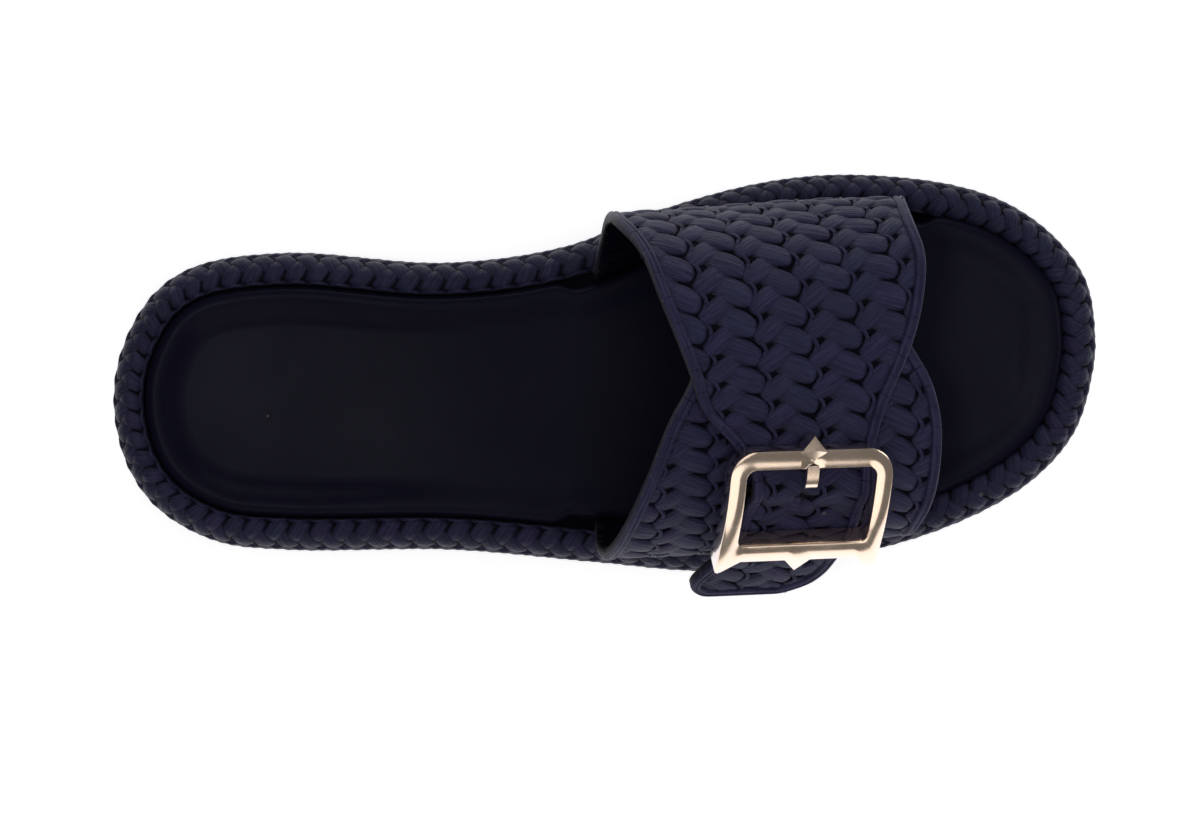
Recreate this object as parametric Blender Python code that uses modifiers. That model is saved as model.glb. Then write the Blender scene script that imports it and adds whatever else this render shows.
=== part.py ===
# Slide sandal for the right foot, moulded in one rubber with a braided rim and two woven straps.
# Metres, +Z up, +X to the toe, +Y to the medial side. The origin is on the floor, under the
# middle of the sole's length.
import math
from collections import namedtuple

import bmesh
import bpy
import numpy as np
from mathutils import Matrix, Vector

# Sole
SOLE_LENGTH = 0.262
BALL_WIDTH = 0.105
HEEL_HEIGHT = 0.030
FOREFOOT_HEIGHT = 0.0245
TOE_SPRING = 0.006
TOE_SPRING_START = 0.056
HEEL_BEVEL = 0.0022
HEEL_BEVEL_START = 0.110
HEEL_SLOPE_START = 0.040
HEEL_SLOPE_END = -0.070

# Braid around the sole
RIM_WIDTH = 0.0088
BRAID_RELIEF = 0.0007
BRAID_PITCH = 0.0066
WELL_DEPTH = 0.0075

# Insole
INSOLE_THICKNESS = 0.0068
INSOLE_ROUND = 0.0022
INSOLE_CUP = 0.0012
CLEARANCE = 0.0003

# Arch of the straps over the foot
INSTEP_HEIGHT = 0.056
STRAP_WALL = 0.0020
WEAVE_RELIEF = 0.0007
STRAP_LENGTH = 0.083
BORDER_WIDTH = 0.0028
COLUMN_PITCH = 0.0132
ROW_PITCH = 0.0072
COLUMN_START = 0.0277
LEAN = 0.014
LEAN_SPAN = 0.075
LEAN_AT = 0.030
REFERENCE_X = 0.045

# Buckle: its sizes, where it touches the arch (a share of the lateral girth and a place along the
# foot), and how far it is turned
BUCKLE_WIDTH = 0.0418
BUCKLE_HEIGHT = 0.0270
BUCKLE_BAR = 0.0034
BUCKLE_SIDE = 0.0044
BUCKLE_DEPTH = 0.0054
BUCKLE_CORNER = 0.0068
BUCKLE_POINT = 0.0046
BUCKLE_POINT_WIDTH = 0.0068
BUCKLE_EDGE = 0.0007
FOOT_WIDTH = 0.0080
CENTRE_BAR_RADIUS = 0.0011
PRONG_RADIUS = 0.0011
NOTCH_RADIUS = 0.0018
PRONG_HOLE_LENGTH = 0.0072
PRONG_HOLE_WIDTH = 0.0038
SPARE_HOLE_LENGTH = 0.0052
SPARE_HOLE_AT = 0.0183
CENTRE_BAR_AT = 0.0092
TOUCH_AT = 0.0060
BUCKLE_CURVE = 0.052
BUCKLE_GIRTH = 0.385
BUCKLE_ALONG = 0.0520
BUCKLE_TURN = 0.055

# Medial strap: how it leaves the arch for the buckle, goes over the centre bar and ends in a bent tail
BEND_BLEND = 0.014
BEND_MARGIN = 0.002
BAR_BULGE = 0.0042
TAIL_BEND = 0.12
TAIL_RADIUS = 0.022
FADE_START = 0.60
FADE = 0.38
LEG_ROOM_RAMP = 0.005

# Derived levels
LIFT = STRAP_WALL + WEAVE_RELIEF + 2 * CLEARANCE
BASE_RISE = BRAID_RELIEF + 3 * CLEARANCE
LEG_DEPTH = WELL_DEPTH + BASE_RISE - 2 * CLEARANCE
FRAME_BASE = WEAVE_RELIEF + 2 * CLEARANCE
FRAME_TOP = FRAME_BASE + BUCKLE_DEPTH
BAR_LIFT = 2 * CENTRE_BAR_RADIUS + CLEARANCE
BAR_LEVEL = BAR_LIFT - STRAP_WALL - CLEARANCE - CENTRE_BAR_RADIUS

# Parts of a weave cell: its columns, how far each leans, its rows, and the relief of its corners
COLUMN_PARTS = (0.0, 0.26, 0.62)
PART_SLANT = (0.0, -0.12, -0.30)
ROW_PARTS = (0.0, 0.62)
CELL_RELIEF = ((0.45, 0.90, 0.25), (0.45, 0.10, 1.00))
SNAP = 0.09
ROW_ROOM = 0.3

SIDE_MEDIAL = 1
SIDE_LATERAL = -1
PER_SPAN = 24
ANGLE_STEPS = 200
FRAME_STEP = 0.002

OutlinePoint = namedtuple("OutlinePoint", "along across")
# Shares of SOLE_LENGTH and BALL_WIDTH, from the heel tip up the lateral side and back down the medial side.
OUTLINE = (
    OutlinePoint(-0.5000, -0.076),
    OutlinePoint(-0.4870, -0.237),
    OutlinePoint(-0.4550, -0.352),
    OutlinePoint(-0.3965, -0.434),
    OutlinePoint(-0.3240, -0.456),
    OutlinePoint(-0.1573, -0.456),
    OutlinePoint(-0.0110, -0.488),
    OutlinePoint(0.1000, -0.511),
    OutlinePoint(0.2180, -0.487),
    OutlinePoint(0.3450, -0.404),
    OutlinePoint(0.4328, -0.287),
    OutlinePoint(0.4794, -0.155),
    OutlinePoint(0.4980, 0.005),
    OutlinePoint(0.5000, 0.085),
    OutlinePoint(0.4912, 0.224),
    OutlinePoint(0.4618, 0.332),
    OutlinePoint(0.4153, 0.420),
    OutlinePoint(0.3569, 0.472),
    OutlinePoint(0.2489, 0.499),
    OutlinePoint(0.1641, 0.480),
    OutlinePoint(0.0584, 0.410),
    OutlinePoint(-0.0405, 0.315),
    OutlinePoint(-0.1634, 0.273),
    OutlinePoint(-0.3263, 0.298),
    OutlinePoint(-0.4172, 0.264),
    OutlinePoint(-0.4595, 0.194),
    OutlinePoint(-0.4901, 0.064),
)
TOE_POINT = 13

RimRow = namedtuple("RimRow", "inset height raised")
# Rows of the moulded side, from the underside over the rim to the well: shares of RIM_WIDTH,
# of the local thickness and of BRAID_RELIEF.
RIM_ROWS = (
    RimRow(0.60, 0.00, 0.0),
    RimRow(0.16, 0.05, 0.0),
    RimRow(0.10, 0.17, 1.0),
    RimRow(0.05, 0.33, 1.0),
    RimRow(0.03, 0.49, 1.0),
    RimRow(0.04, 0.65, 1.0),
    RimRow(0.10, 0.80, 1.0),
    RimRow(0.26, 0.94, 1.0),
    RimRow(0.52, 1.00, 1.0),
    RimRow(0.80, 0.98, 1.0),
    RimRow(1.00, 0.93, 0.0),
)

ArchStation = namedtuple("ArchStation", "along medial lateral ridge crown widest")
# Sections of the arch: place along the sole, reach to each side and crown line as shares of BALL_WIDTH,
# crown and widest level above the rim as shares of INSTEP_HEIGHT.
ARCH = (
    ArchStation(-0.040, 0.372, 0.466, 0.035, 1.10, 0.38),
    ArchStation(0.076, 0.391, 0.455, 0.045, 1.00, 0.36),
    ArchStation(0.190, 0.413, 0.436, 0.055, 0.86, 0.32),
    ArchStation(0.345, 0.426, 0.392, 0.070, 0.66, 0.27),
)

StrapStation = namedtuple("StrapStation", "girth rear front")
# Edges of a strap: place along it as a share of the arch's girth on that side (below 0 is medial, over 0
# lateral), and its rear and front edge there, ahead of the origin, as shares of STRAP_LENGTH.
MEDIAL_EDGES = (
    StrapStation(-1.00, -0.035, 0.950),
    StrapStation(-0.62, 0.005, 0.945),
    StrapStation(-0.42, 0.040, 0.962),
    StrapStation(-0.28, 0.110, 0.982),
    StrapStation(-0.14, 0.162, 0.970),
    StrapStation(0.00, 0.222, 0.935),
    StrapStation(0.10, 0.262, 0.890),
    StrapStation(0.19, 0.290, 0.846),
    StrapStation(0.27, 0.365, 0.812),
    StrapStation(0.36, 0.447, 0.793),
    StrapStation(0.52, 0.431, 0.775),
    StrapStation(0.64, 0.395, 0.757),
    StrapStation(0.73, 0.345, 0.740),
    StrapStation(0.81, 0.290, 0.705),
    StrapStation(0.88, 0.265, 0.640),
    StrapStation(0.92, 0.300, 0.560),
)
LATERAL_EDGES = (
    StrapStation(-0.16, 0.420, 0.780),
    StrapStation(-0.11, 0.340, 0.870),
    StrapStation(0.00, 0.285, 0.935),
    StrapStation(0.10, 0.262, 1.000),
    StrapStation(0.20, 0.203, 1.034),
    StrapStation(0.34, 0.144, 1.041),
    StrapStation(0.48, 0.084, 1.025),
    StrapStation(0.64, 0.022, 0.982),
    StrapStation(0.80, -0.020, 0.955),
    StrapStation(1.00, -0.030, 0.945),
)


def smooth_step(value):
    value = np.clip(value, 0.0, 1.0)
    return value * value * (3.0 - 2.0 * value)


def read_table(rows, key, column, at):
    """Smooth value of one column at a place given by another, along cubic pieces."""
    xs = np.array([getattr(row, key) for row in rows])
    ys = np.array([getattr(row, column) for row in rows])
    slopes = np.gradient(ys, xs)
    at = min(max(at, xs[0]), xs[-1])
    i = int(min(np.searchsorted(xs, at, side="right") - 1, len(xs) - 2))
    span = xs[i + 1] - xs[i]
    u = (at - xs[i]) / span
    return (
        (2 * u**3 - 3 * u**2 + 1) * ys[i]
        + (u**3 - 2 * u**2 + u) * span * slopes[i]
        + (3 * u**2 - 2 * u**3) * ys[i + 1]
        + (u**3 - u**2) * span * slopes[i + 1]
    )


def closed_curve(points, per_span):
    """Closed Catmull-Rom curve through the points, as dense samples."""
    samples = []
    count = len(points)
    for i in range(count):
        p0, p1, p2, p3 = (points[(i + k) % count] for k in (-1, 0, 1, 2))
        knots = [0.0]
        for a, b in ((p0, p1), (p1, p2), (p2, p3)):
            knots.append(knots[-1] + math.sqrt(np.linalg.norm(b - a)))
        t0, t1, t2, t3 = knots
        for j in range(per_span):
            t = t1 + (t2 - t1) * j / per_span
            a1 = (t1 - t) / (t1 - t0) * p0 + (t - t0) / (t1 - t0) * p1
            a2 = (t2 - t) / (t2 - t1) * p1 + (t - t1) / (t2 - t1) * p2
            a3 = (t3 - t) / (t3 - t2) * p2 + (t - t2) / (t3 - t2) * p3
            b1 = (t2 - t) / (t2 - t0) * a1 + (t - t0) / (t2 - t0) * a2
            b2 = (t3 - t) / (t3 - t1) * a2 + (t - t1) / (t3 - t1) * a3
            samples.append((t2 - t) / (t2 - t1) * b1 + (t - t1) / (t2 - t1) * b2)
    return np.array(samples)


def resample(path, count):
    """Points at equal steps along an open path, with both ends."""
    steps = np.linalg.norm(np.diff(path, axis=0), axis=1)
    length = np.concatenate([[0.0], np.cumsum(steps)])
    at = np.linspace(0.0, length[-1], count)
    return np.stack([np.interp(at, length, path[:, k]) for k in (0, 1)], axis=1)


OUTLINE_POINTS = np.array([(p.along * SOLE_LENGTH, p.across * BALL_WIDTH) for p in OUTLINE])
DENSE = closed_curve(OUTLINE_POINTS, PER_SPAN)
TOE_INDEX = TOE_POINT * PER_SPAN
LATERAL_PATH = DENSE[: TOE_INDEX + 1]
MEDIAL_PATH = np.concatenate([DENSE[TOE_INDEX:], DENSE[:1]])
HALF_GIRTH = max(
    np.linalg.norm(np.diff(path, axis=0), axis=1).sum() for path in (LATERAL_PATH, MEDIAL_PATH)
)


def outline_ring(half_count):
    """Outline as 2 * half_count points, heel tip first, with its outward normals."""
    lateral = resample(LATERAL_PATH, half_count + 1)
    medial = resample(MEDIAL_PATH, half_count + 1)
    ring = np.concatenate([lateral[:-1], medial[:-1]])
    tangent = np.roll(ring, -1, axis=0) - np.roll(ring, 1, axis=0)
    tangent /= np.linalg.norm(tangent, axis=1)[:, None]
    return ring, np.stack([tangent[:, 1], -tangent[:, 0]], axis=1)


def sole_bottom(x):
    half = SOLE_LENGTH / 2
    toe = np.clip((x - TOE_SPRING_START) / (half - TOE_SPRING_START), 0.0, 1.1)
    heel = np.clip((-x - HEEL_BEVEL_START) / (half - HEEL_BEVEL_START), 0.0, 1.1)
    return TOE_SPRING * toe**2 + HEEL_BEVEL * heel**2


def sole_top(x):
    rise = smooth_step((HEEL_SLOPE_START - x) / (HEEL_SLOPE_START - HEEL_SLOPE_END))
    toe = np.clip((x - TOE_SPRING_START) / (SOLE_LENGTH / 2 - TOE_SPRING_START), 0.0, 1.1)
    return FOREFOOT_HEIGHT + (HEEL_HEIGHT - FOREFOOT_HEIGHT) * rise + TOE_SPRING * 0.6 * toe**2


def rim_edge(x, side):
    """Across place of the rim's inner edge at x, on one side of the foot."""
    ring, normal = outline_ring(160)
    inner = ring - normal * RIM_WIDTH
    half = inner[:161] if side == SIDE_LATERAL else inner[160:]
    order = np.argsort(half[:, 0])
    return float(np.interp(x, half[order, 0], half[order, 1]))


def new_object(name, bm, collection, material, smooth_angle):
    mesh = bpy.data.meshes.new(name)
    bm.to_mesh(mesh)
    bm.free()
    mesh.materials.append(material)
    mesh.shade_smooth()
    mesh.set_sharp_from_angle(angle=smooth_angle)
    obj = bpy.data.objects.new(name, mesh)
    collection.objects.link(obj)
    return obj


def make_material(name, colour, roughness, metallic):
    material = bpy.data.materials.new(name)
    material.use_nodes = True
    shader = material.node_tree.nodes["Principled BSDF"]
    shader.inputs["Base Color"].default_value = (*colour, 1.0)
    shader.inputs["Roughness"].default_value = roughness
    shader.inputs["Metallic"].default_value = metallic
    return material


def loft_rings(rings):
    """Closed body through rings of equal point counts, capped by strips between its two halves."""
    bm = bmesh.new()
    loops = [[bm.verts.new(point) for point in ring] for ring in rings]
    count = len(loops[0])
    for lower, upper in zip(loops, loops[1:]):
        for i in range(count):
            j = (i + 1) % count
            bm.faces.new((lower[i], lower[j], upper[j], upper[i]))
    for loop, turned in ((loops[0], True), (loops[-1], False)):
        for i in range(count // 2):
            left = (loop[i], loop[i + 1])
            right = (loop[-i % count], loop[-(i + 1) % count])
            corners = [left[0], left[1], right[1], right[0]]
            corners = list(dict.fromkeys(corners))
            bm.faces.new(corners[::-1] if turned else corners)
    return bm


def make_sole(collection, material):
    half_count = int(round(HALF_GIRTH / BRAID_PITCH)) * 2
    ring, normal = outline_ring(half_count)
    count = len(ring)
    low = sole_bottom(ring[:, 0])
    high = sole_top(ring[:, 0])
    rings = []
    for level, row in enumerate(RIM_ROWS):
        # Raised lumps alternate along a row and from row to row.
        lump = np.where((np.arange(count) + level) % 2 == 0, 1.0, -0.6) * row.raised * BRAID_RELIEF
        level_height = low + (high - low) * row.height
        spread = np.array([1.0, 0.0]) if row.height < 0.9 else np.array([0.3, 0.9])
        plan = ring - normal * (row.inset * RIM_WIDTH) + normal * (lump * spread[0])[:, None]
        rings.append(np.column_stack([plan, level_height + lump * spread[1]]))
    floor = ring - normal * RIM_WIDTH
    rings.append(np.column_stack([floor, high - WELL_DEPTH]))
    return new_object("sole", loft_rings(rings), collection, material, math.radians(50))


def leg_span(side):
    """Rear and front x of a strap's leg in the gap between insole and rim."""
    edges = MEDIAL_EDGES if side == SIDE_MEDIAL else LATERAL_EDGES
    row = edges[0] if side == SIDE_MEDIAL else edges[-1]
    return row.rear * STRAP_LENGTH, row.front * STRAP_LENGTH


def make_insole(collection, material):
    half_count = int(round(HALF_GIRTH / BRAID_PITCH))
    ring, normal = outline_ring(half_count)
    inset = np.full(len(ring), RIM_WIDTH + CLEARANCE)
    for i, (x, _) in enumerate(ring):
        side = SIDE_LATERAL if i < half_count else SIDE_MEDIAL
        rear, front = leg_span(side)
        margin = 2 * CLEARANCE + BRAID_PITCH
        inside = min(x - rear + margin + LEG_ROOM_RAMP, front + margin + LEG_ROOM_RAMP - x)
        inset[i] += (STRAP_WALL + 2 * CLEARANCE) * float(smooth_step(inside / LEG_ROOM_RAMP))
    base = sole_top(ring[:, 0]) - WELL_DEPTH + CLEARANCE
    top = base + INSOLE_THICKNESS
    rings = []
    for extra, height in (
        (0.0, base),
        (0.0, top - INSOLE_ROUND),
        (0.35 * INSOLE_ROUND, top - 0.35 * INSOLE_ROUND),
        (1.2 * INSOLE_ROUND, top),
        (7 * INSOLE_ROUND, top - INSOLE_CUP),
    ):
        plan = ring - normal * (inset + extra)[:, None]
        rings.append(np.column_stack([plan, height]))
    return new_object("insole", loft_rings(rings), collection, material, math.radians(60))


def arch_frame(x):
    """Sizes of the arch's section at x, at the level of the lateral strap's outer side."""
    share = x / SOLE_LENGTH
    read = {
        column: read_table(ARCH, "along", column, share)
        for column in ("medial", "lateral", "ridge", "crown", "widest")
    }
    rim = float(sole_top(np.array(x))) + BASE_RISE
    frame = {"rim": rim, "ridge": read["ridge"] * BALL_WIDTH}
    frame["crown"] = rim + read["crown"] * INSTEP_HEIGHT + STRAP_WALL
    frame["widest"] = rim + read["widest"] * INSTEP_HEIGHT
    frame["reach"] = {
        SIDE_MEDIAL: read["medial"] * BALL_WIDTH - frame["ridge"],
        SIDE_LATERAL: read["lateral"] * BALL_WIDTH + frame["ridge"],
    }
    leg = {side: rim_edge(x, side) - side * CLEARANCE for side in (SIDE_MEDIAL, SIDE_LATERAL)}
    frame["base"] = {side: side * (leg[side] - frame["ridge"]) for side in leg}
    return frame


def section_angles(frame, side):
    """Angle from the crown down to the base, past the widest place."""
    share = min(frame["base"][side] / frame["reach"][side], 0.995)
    return math.pi - math.asin(share)


def section_point(frame, side, angle):
    reach = frame["reach"][side]
    if angle <= math.pi / 2:
        rise = frame["crown"] - frame["widest"]
    else:
        rise = (frame["widest"] - frame["rim"]) / -math.cos(section_angles(frame, side))
    y = frame["ridge"] + side * reach * math.sin(angle)
    return y, frame["widest"] + rise * math.cos(angle)


def girth_table(side):
    """Arc length from the crown against the share of the base angle, at the reference section."""
    frame = arch_frame(REFERENCE_X)
    shares = np.linspace(0.0, 1.0, ANGLE_STEPS)
    base_angle = section_angles(frame, side)
    points = np.array([section_point(frame, side, share * base_angle) for share in shares])
    steps = np.linalg.norm(np.diff(points, axis=0), axis=1)
    return np.concatenate([[0.0], np.cumsum(steps)]), shares


GIRTHS = {side: girth_table(side) for side in (SIDE_MEDIAL, SIDE_LATERAL)}
GIRTH_MEDIAL = float(GIRTHS[SIDE_MEDIAL][0][-1])
GIRTH_LATERAL = float(GIRTHS[SIDE_LATERAL][0][-1])


def lean_shift(v):
    """How far the weave's columns fall back to the heel, away from the place where they turn."""
    v = max(min(v, GIRTH_LATERAL), -GIRTH_MEDIAL)
    return LEAN * ((v - LEAN_AT) / LEAN_SPAN) ** 2


FRAMES = {}


def frame_at(x):
    """Section sizes between two stored sections, so that each is worked out once."""
    low = math.floor(x / FRAME_STEP)
    for key in (low, low + 1):
        if key not in FRAMES:
            FRAMES[key] = arch_frame(key * FRAME_STEP)
    a, b = FRAMES[low], FRAMES[low + 1]
    u = x / FRAME_STEP - low
    mixed = {key: a[key] + (b[key] - a[key]) * u for key in ("rim", "ridge", "crown", "widest")}
    for key in ("reach", "base"):
        mixed[key] = {side: a[key][side] + (b[key][side] - a[key][side]) * u for side in a[key]}
    return mixed


def arch_point(t, v):
    """Point of the arch for a place t along the foot at the crown and v along the strap's girth."""
    side = SIDE_MEDIAL if v < 0 else SIDE_LATERAL
    lengths, shares = GIRTHS[side]
    x = t - lean_shift(v)
    frame = frame_at(x)
    share = float(np.interp(abs(v), lengths, shares))
    y, z = section_point(frame, side, share * section_angles(frame, side))
    z -= max(abs(v) - lengths[-1], 0.0)
    return np.array([x, y, z])


def arch_normal(t, v):
    step = 0.0006
    along = arch_point(t + step, v) - arch_point(t - step, v)
    around = arch_point(t, v + step) - arch_point(t, v - step)
    normal = np.cross(along, -around)
    return normal / np.linalg.norm(normal)


TOUCH_V = BUCKLE_GIRTH * GIRTH_LATERAL


def lifted_point(t, v):
    """Point of the medial strap's outer side where it lies on the arch: its leg isn't lifted."""
    lift = LIFT * float(smooth_step((v / GIRTH_MEDIAL + FADE_START) / FADE))
    return arch_point(t, v) + arch_normal(t, v) * lift


def buckle_axes():
    """Origin and axes of the buckle's plane: along the foot, down the strap and outward."""
    origin = lifted_point(BUCKLE_ALONG, TOUCH_V)
    step = 0.001
    down = lifted_point(BUCKLE_ALONG, TOUCH_V + step) - origin
    down /= np.linalg.norm(down)
    outward = arch_normal(BUCKLE_ALONG, TOUCH_V)
    outward -= down * outward.dot(down)
    outward /= np.linalg.norm(outward)
    along = np.cross(outward, down)
    turned = down * math.cos(BUCKLE_TURN) - along * math.sin(BUCKLE_TURN)
    return origin, np.cross(outward, turned), turned, outward


ORIGIN, ALONG, DOWN, OUTWARD = buckle_axes()


def on_buckle(p, q, h):
    """World point for buckle sizes: p along the foot, q down from its top edge, h outward."""
    angle = (q - TOUCH_AT) / BUCKLE_CURVE
    normal = OUTWARD * math.cos(angle) + DOWN * math.sin(angle)
    centre = ORIGIN - OUTWARD * BUCKLE_CURVE
    return centre + ALONG * p + normal * (BUCKLE_CURVE + h)


def bulge(q):
    return BAR_LIFT * math.exp(-(((q - CENTRE_BAR_AT) / BAR_BULGE) ** 2))


def bent_point(p, q, relief):
    """Medial strap along the buckle, over the centre bar, with its tail bent down."""
    over = max(q - BUCKLE_HEIGHT, 0.0)
    angle = min(over / TAIL_RADIUS, TAIL_BEND)
    rest = over - TAIL_RADIUS * angle
    foot = on_buckle(p, min(q, BUCKLE_HEIGHT), 0.0)
    outward = on_buckle(p, min(q, BUCKLE_HEIGHT), 1.0) - foot
    down = np.cross(ALONG, outward)
    reach = TAIL_RADIUS * math.sin(angle) + rest * math.cos(angle) + relief * math.sin(angle)
    drop = TAIL_RADIUS * (1 - math.cos(angle)) + rest * math.sin(angle) - relief * math.cos(angle)
    return foot + down * reach + outward * (bulge(q) - drop)


def medial_point(t, v, relief):
    q = v - TOUCH_V + TOUCH_AT
    share = float(smooth_step(1.0 + (q + BEND_MARGIN) / BEND_BLEND))
    on_bend = bent_point(t - BUCKLE_ALONG, q, relief)
    if share >= 1.0:
        return on_bend
    on_arch = lifted_point(t, v) + arch_normal(t, v) * relief
    return on_arch * (1.0 - share) + on_bend * share


def lateral_point(t, v, relief):
    return arch_point(t, v) + arch_normal(t, v) * relief


def strap_rows(first, last, plain):
    """Places along a woven span with the part of the cell there: rows near a plain place give way."""
    places = [(v, None) for v in (first, *plain, last)]
    for j in range(math.floor(first / ROW_PITCH), math.ceil(last / ROW_PITCH)):
        for part, share in enumerate(ROW_PARTS):
            v = (j + share) * ROW_PITCH
            room = min(abs(v - place) for place in (first, *plain, last))
            if first < v < last and room > ROW_ROOM * ROW_PITCH:
                places.append((v, part))
    return sorted(places, key=lambda place: place[0])


def girth_share(v):
    return v / GIRTH_MEDIAL if v < 0 else v / GIRTH_LATERAL


def make_strap(name, edges, point, rows, gaps, collection, material):
    """Open sheet of one strap with its border, raised weave and gaps, then given its wall."""
    bm = bmesh.new()
    columns = range(-2, 7)
    lines = [(k, part) for k in columns for part in range(len(COLUMN_PARTS))]
    grid = []
    for v, row_part in rows:
        share = girth_share(v)
        rear, front = (
            read_table(edges, "girth", column, share) * STRAP_LENGTH + lean_shift(v)
            for column in ("rear", "front")
        )
        plain = row_part is None
        edge = 0.0 if plain else WEAVE_RELIEF
        inner = (rear + BORDER_WIDTH, front - BORDER_WIDTH)
        ends = [bm.verts.new(point(t, v, edge)) for t in (rear, inner[0], inner[1], front)]
        verts = [ends[0], ends[1]]
        for k, part in lines:
            t = COLUMN_START + (k + COLUMN_PARTS[part]) * COLUMN_PITCH
            if t < inner[0] + SNAP * COLUMN_PITCH:
                verts.append(ends[1])
            elif t > inner[1] - SNAP * COLUMN_PITCH:
                verts.append(ends[2])
            else:
                relief = 0.0 if plain else CELL_RELIEF[row_part][part] * WEAVE_RELIEF
                slant = 0.0 if plain else PART_SLANT[part] * ROW_PITCH
                verts.append(bm.verts.new(point(t, v + slant, relief)))
        grid.append((verts + [ends[2], ends[3]], row_part, v))
    for (upper, part, v), (lower, _, _) in zip(grid, grid[1:]):
        for i in range(len(upper) - 1):
            corners = (upper[i], lower[i], lower[i + 1], upper[i + 1])
            unique = list(dict.fromkeys(corners))
            is_gap_column = 2 <= i < len(upper) - 3 and lines[i - 2][1] == 0
            if len(unique) == 4 and part == 1 and is_gap_column and gaps[0] < v < gaps[1]:
                continue
            if len(unique) > 2:
                bm.faces.new(unique)
    loose = [vert for vert in bm.verts if not vert.link_faces]
    bmesh.ops.delete(bm, geom=loose, context="VERTS")
    obj = new_object(name, bm, collection, material, math.radians(60))
    wall = obj.modifiers.new("wall", "SOLIDIFY")
    wall.thickness = STRAP_WALL
    wall.offset = -1.0
    return obj


def frame_stations():
    """Outer and inner outline of the frame's right half, from the middle of the top bar to the bottom's."""
    half = BUCKLE_WIDTH / 2
    inner = half - BUCKLE_SIDE
    low = BUCKLE_HEIGHT - BUCKLE_BAR
    point = BUCKLE_POINT_WIDTH / 2
    stations = [((0.0, -BUCKLE_POINT), (0.0, BUCKLE_BAR)), ((point, 0.0), (point, BUCKLE_BAR))]
    for i in range(6):
        turn = math.pi / 2 * i / 5
        centre = (half - BUCKLE_CORNER, BUCKLE_CORNER)
        out = (centre[0] + BUCKLE_CORNER * math.sin(turn), centre[1] - BUCKLE_CORNER * math.cos(turn))
        room = (BUCKLE_CORNER - BUCKLE_SIDE, BUCKLE_CORNER - BUCKLE_BAR)
        into = (centre[0] + room[0] * math.sin(turn), centre[1] - room[1] * math.cos(turn))
        stations.append((out, into))
    for share in (0.25, 0.5, 0.75):
        q = BUCKLE_CORNER + (low - BUCKLE_CORNER) * share
        stations.append(((half, q), (inner, q)))
    toe = BUCKLE_EDGE
    stations += [
        ((half, BUCKLE_HEIGHT), (inner, low - toe)),
        ((half - FOOT_WIDTH * 0.30, BUCKLE_HEIGHT + BUCKLE_POINT), (inner - toe / 3, low - toe / 3)),
        ((half - FOOT_WIDTH, BUCKLE_HEIGHT), (inner - toe - FOOT_WIDTH / 3, low)),
        ((point, BUCKLE_HEIGHT), (point, low)),
        ((0.0, BUCKLE_HEIGHT + BUCKLE_POINT), (0.0, low)),
    ]
    return stations


def face_outward(bm):
    bmesh.ops.recalc_face_normals(bm, faces=bm.faces)
    if bm.calc_volume(signed=True) < 0.0:
        bmesh.ops.reverse_faces(bm, faces=bm.faces)


def tube(name, points, radius, collection):
    """Round bar along a few points, as a closed mesh."""
    curve = bpy.data.curves.new(name, "CURVE")
    curve.dimensions = "3D"
    curve.bevel_depth = radius
    curve.bevel_resolution = 2
    curve.use_fill_caps = True
    spline = curve.splines.new("POLY")
    spline.points.add(len(points) - 1)
    for spline_point, point in zip(spline.points, points):
        spline_point.co = (*point, 1.0)
    source = bpy.data.objects.new(name + "_path", curve)
    collection.objects.link(source)
    graph = bpy.context.evaluated_depsgraph_get()
    mesh = bpy.data.meshes.new_from_object(source.evaluated_get(graph))
    bpy.data.objects.remove(source, do_unlink=True)
    bm = bmesh.new()
    bm.from_mesh(mesh)
    bmesh.ops.remove_doubles(bm, verts=bm.verts, dist=1e-6)
    face_outward(bm)
    bpy.data.meshes.remove(mesh)
    return bm


def cutter_object(name, bm, collection, material):
    obj = new_object(name, bm, collection, material, math.radians(40))
    obj.hide_render = True
    obj.display_type = "WIRE"
    return obj


def apply_boolean(obj, tool, operation):
    step = obj.modifiers.new(tool.name, "BOOLEAN")
    step.object = tool
    step.operation = operation
    step.solver = "EXACT"


def oval_cutter(name, q, length, width, low, high, collection, material):
    """Upright oval cylinder through the strap or the frame at q."""
    bm = bmesh.new()
    bmesh.ops.create_cone(bm, segments=12, radius1=0.5, radius2=0.5, depth=1.0, cap_ends=True)
    for vert in bm.verts:
        x, y, z = vert.co
        vert.co = on_buckle(x * width, q + y * length, low + (z + 0.5) * (high - low))
    face_outward(bm)
    return cutter_object(name, bm, collection, material)


def make_medial_strap(collection, cutters, material):
    """Strap from its leg in the sole over the foot and the centre bar, with its prong holes."""
    base = MEDIAL_EDGES[0].girth * GIRTH_MEDIAL
    tip = MEDIAL_EDGES[-1].girth * GIRTH_LATERAL
    over_bar = TOUCH_V - TOUCH_AT + CENTRE_BAR_AT
    rows = [(base - LEG_DEPTH, None)] + strap_rows(base, tip, (over_bar,))
    gaps = (-0.8 * GIRTH_MEDIAL, 0.8 * GIRTH_LATERAL)
    strap = make_strap("strap_medial", MEDIAL_EDGES, medial_point, rows, gaps, collection, material)
    at = CENTRE_BAR_AT - 0.1 * PRONG_HOLE_LENGTH
    for name, q, length in (
        ("prong_hole", at, PRONG_HOLE_LENGTH),
        ("spare_hole", SPARE_HOLE_AT, SPARE_HOLE_LENGTH),
    ):
        size = (length, PRONG_HOLE_WIDTH)
        cutter = oval_cutter(name, q, *size, -LIFT, FRAME_BASE + BAR_LIFT, cutters, material)
        apply_boolean(strap, cutter, "DIFFERENCE")


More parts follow.
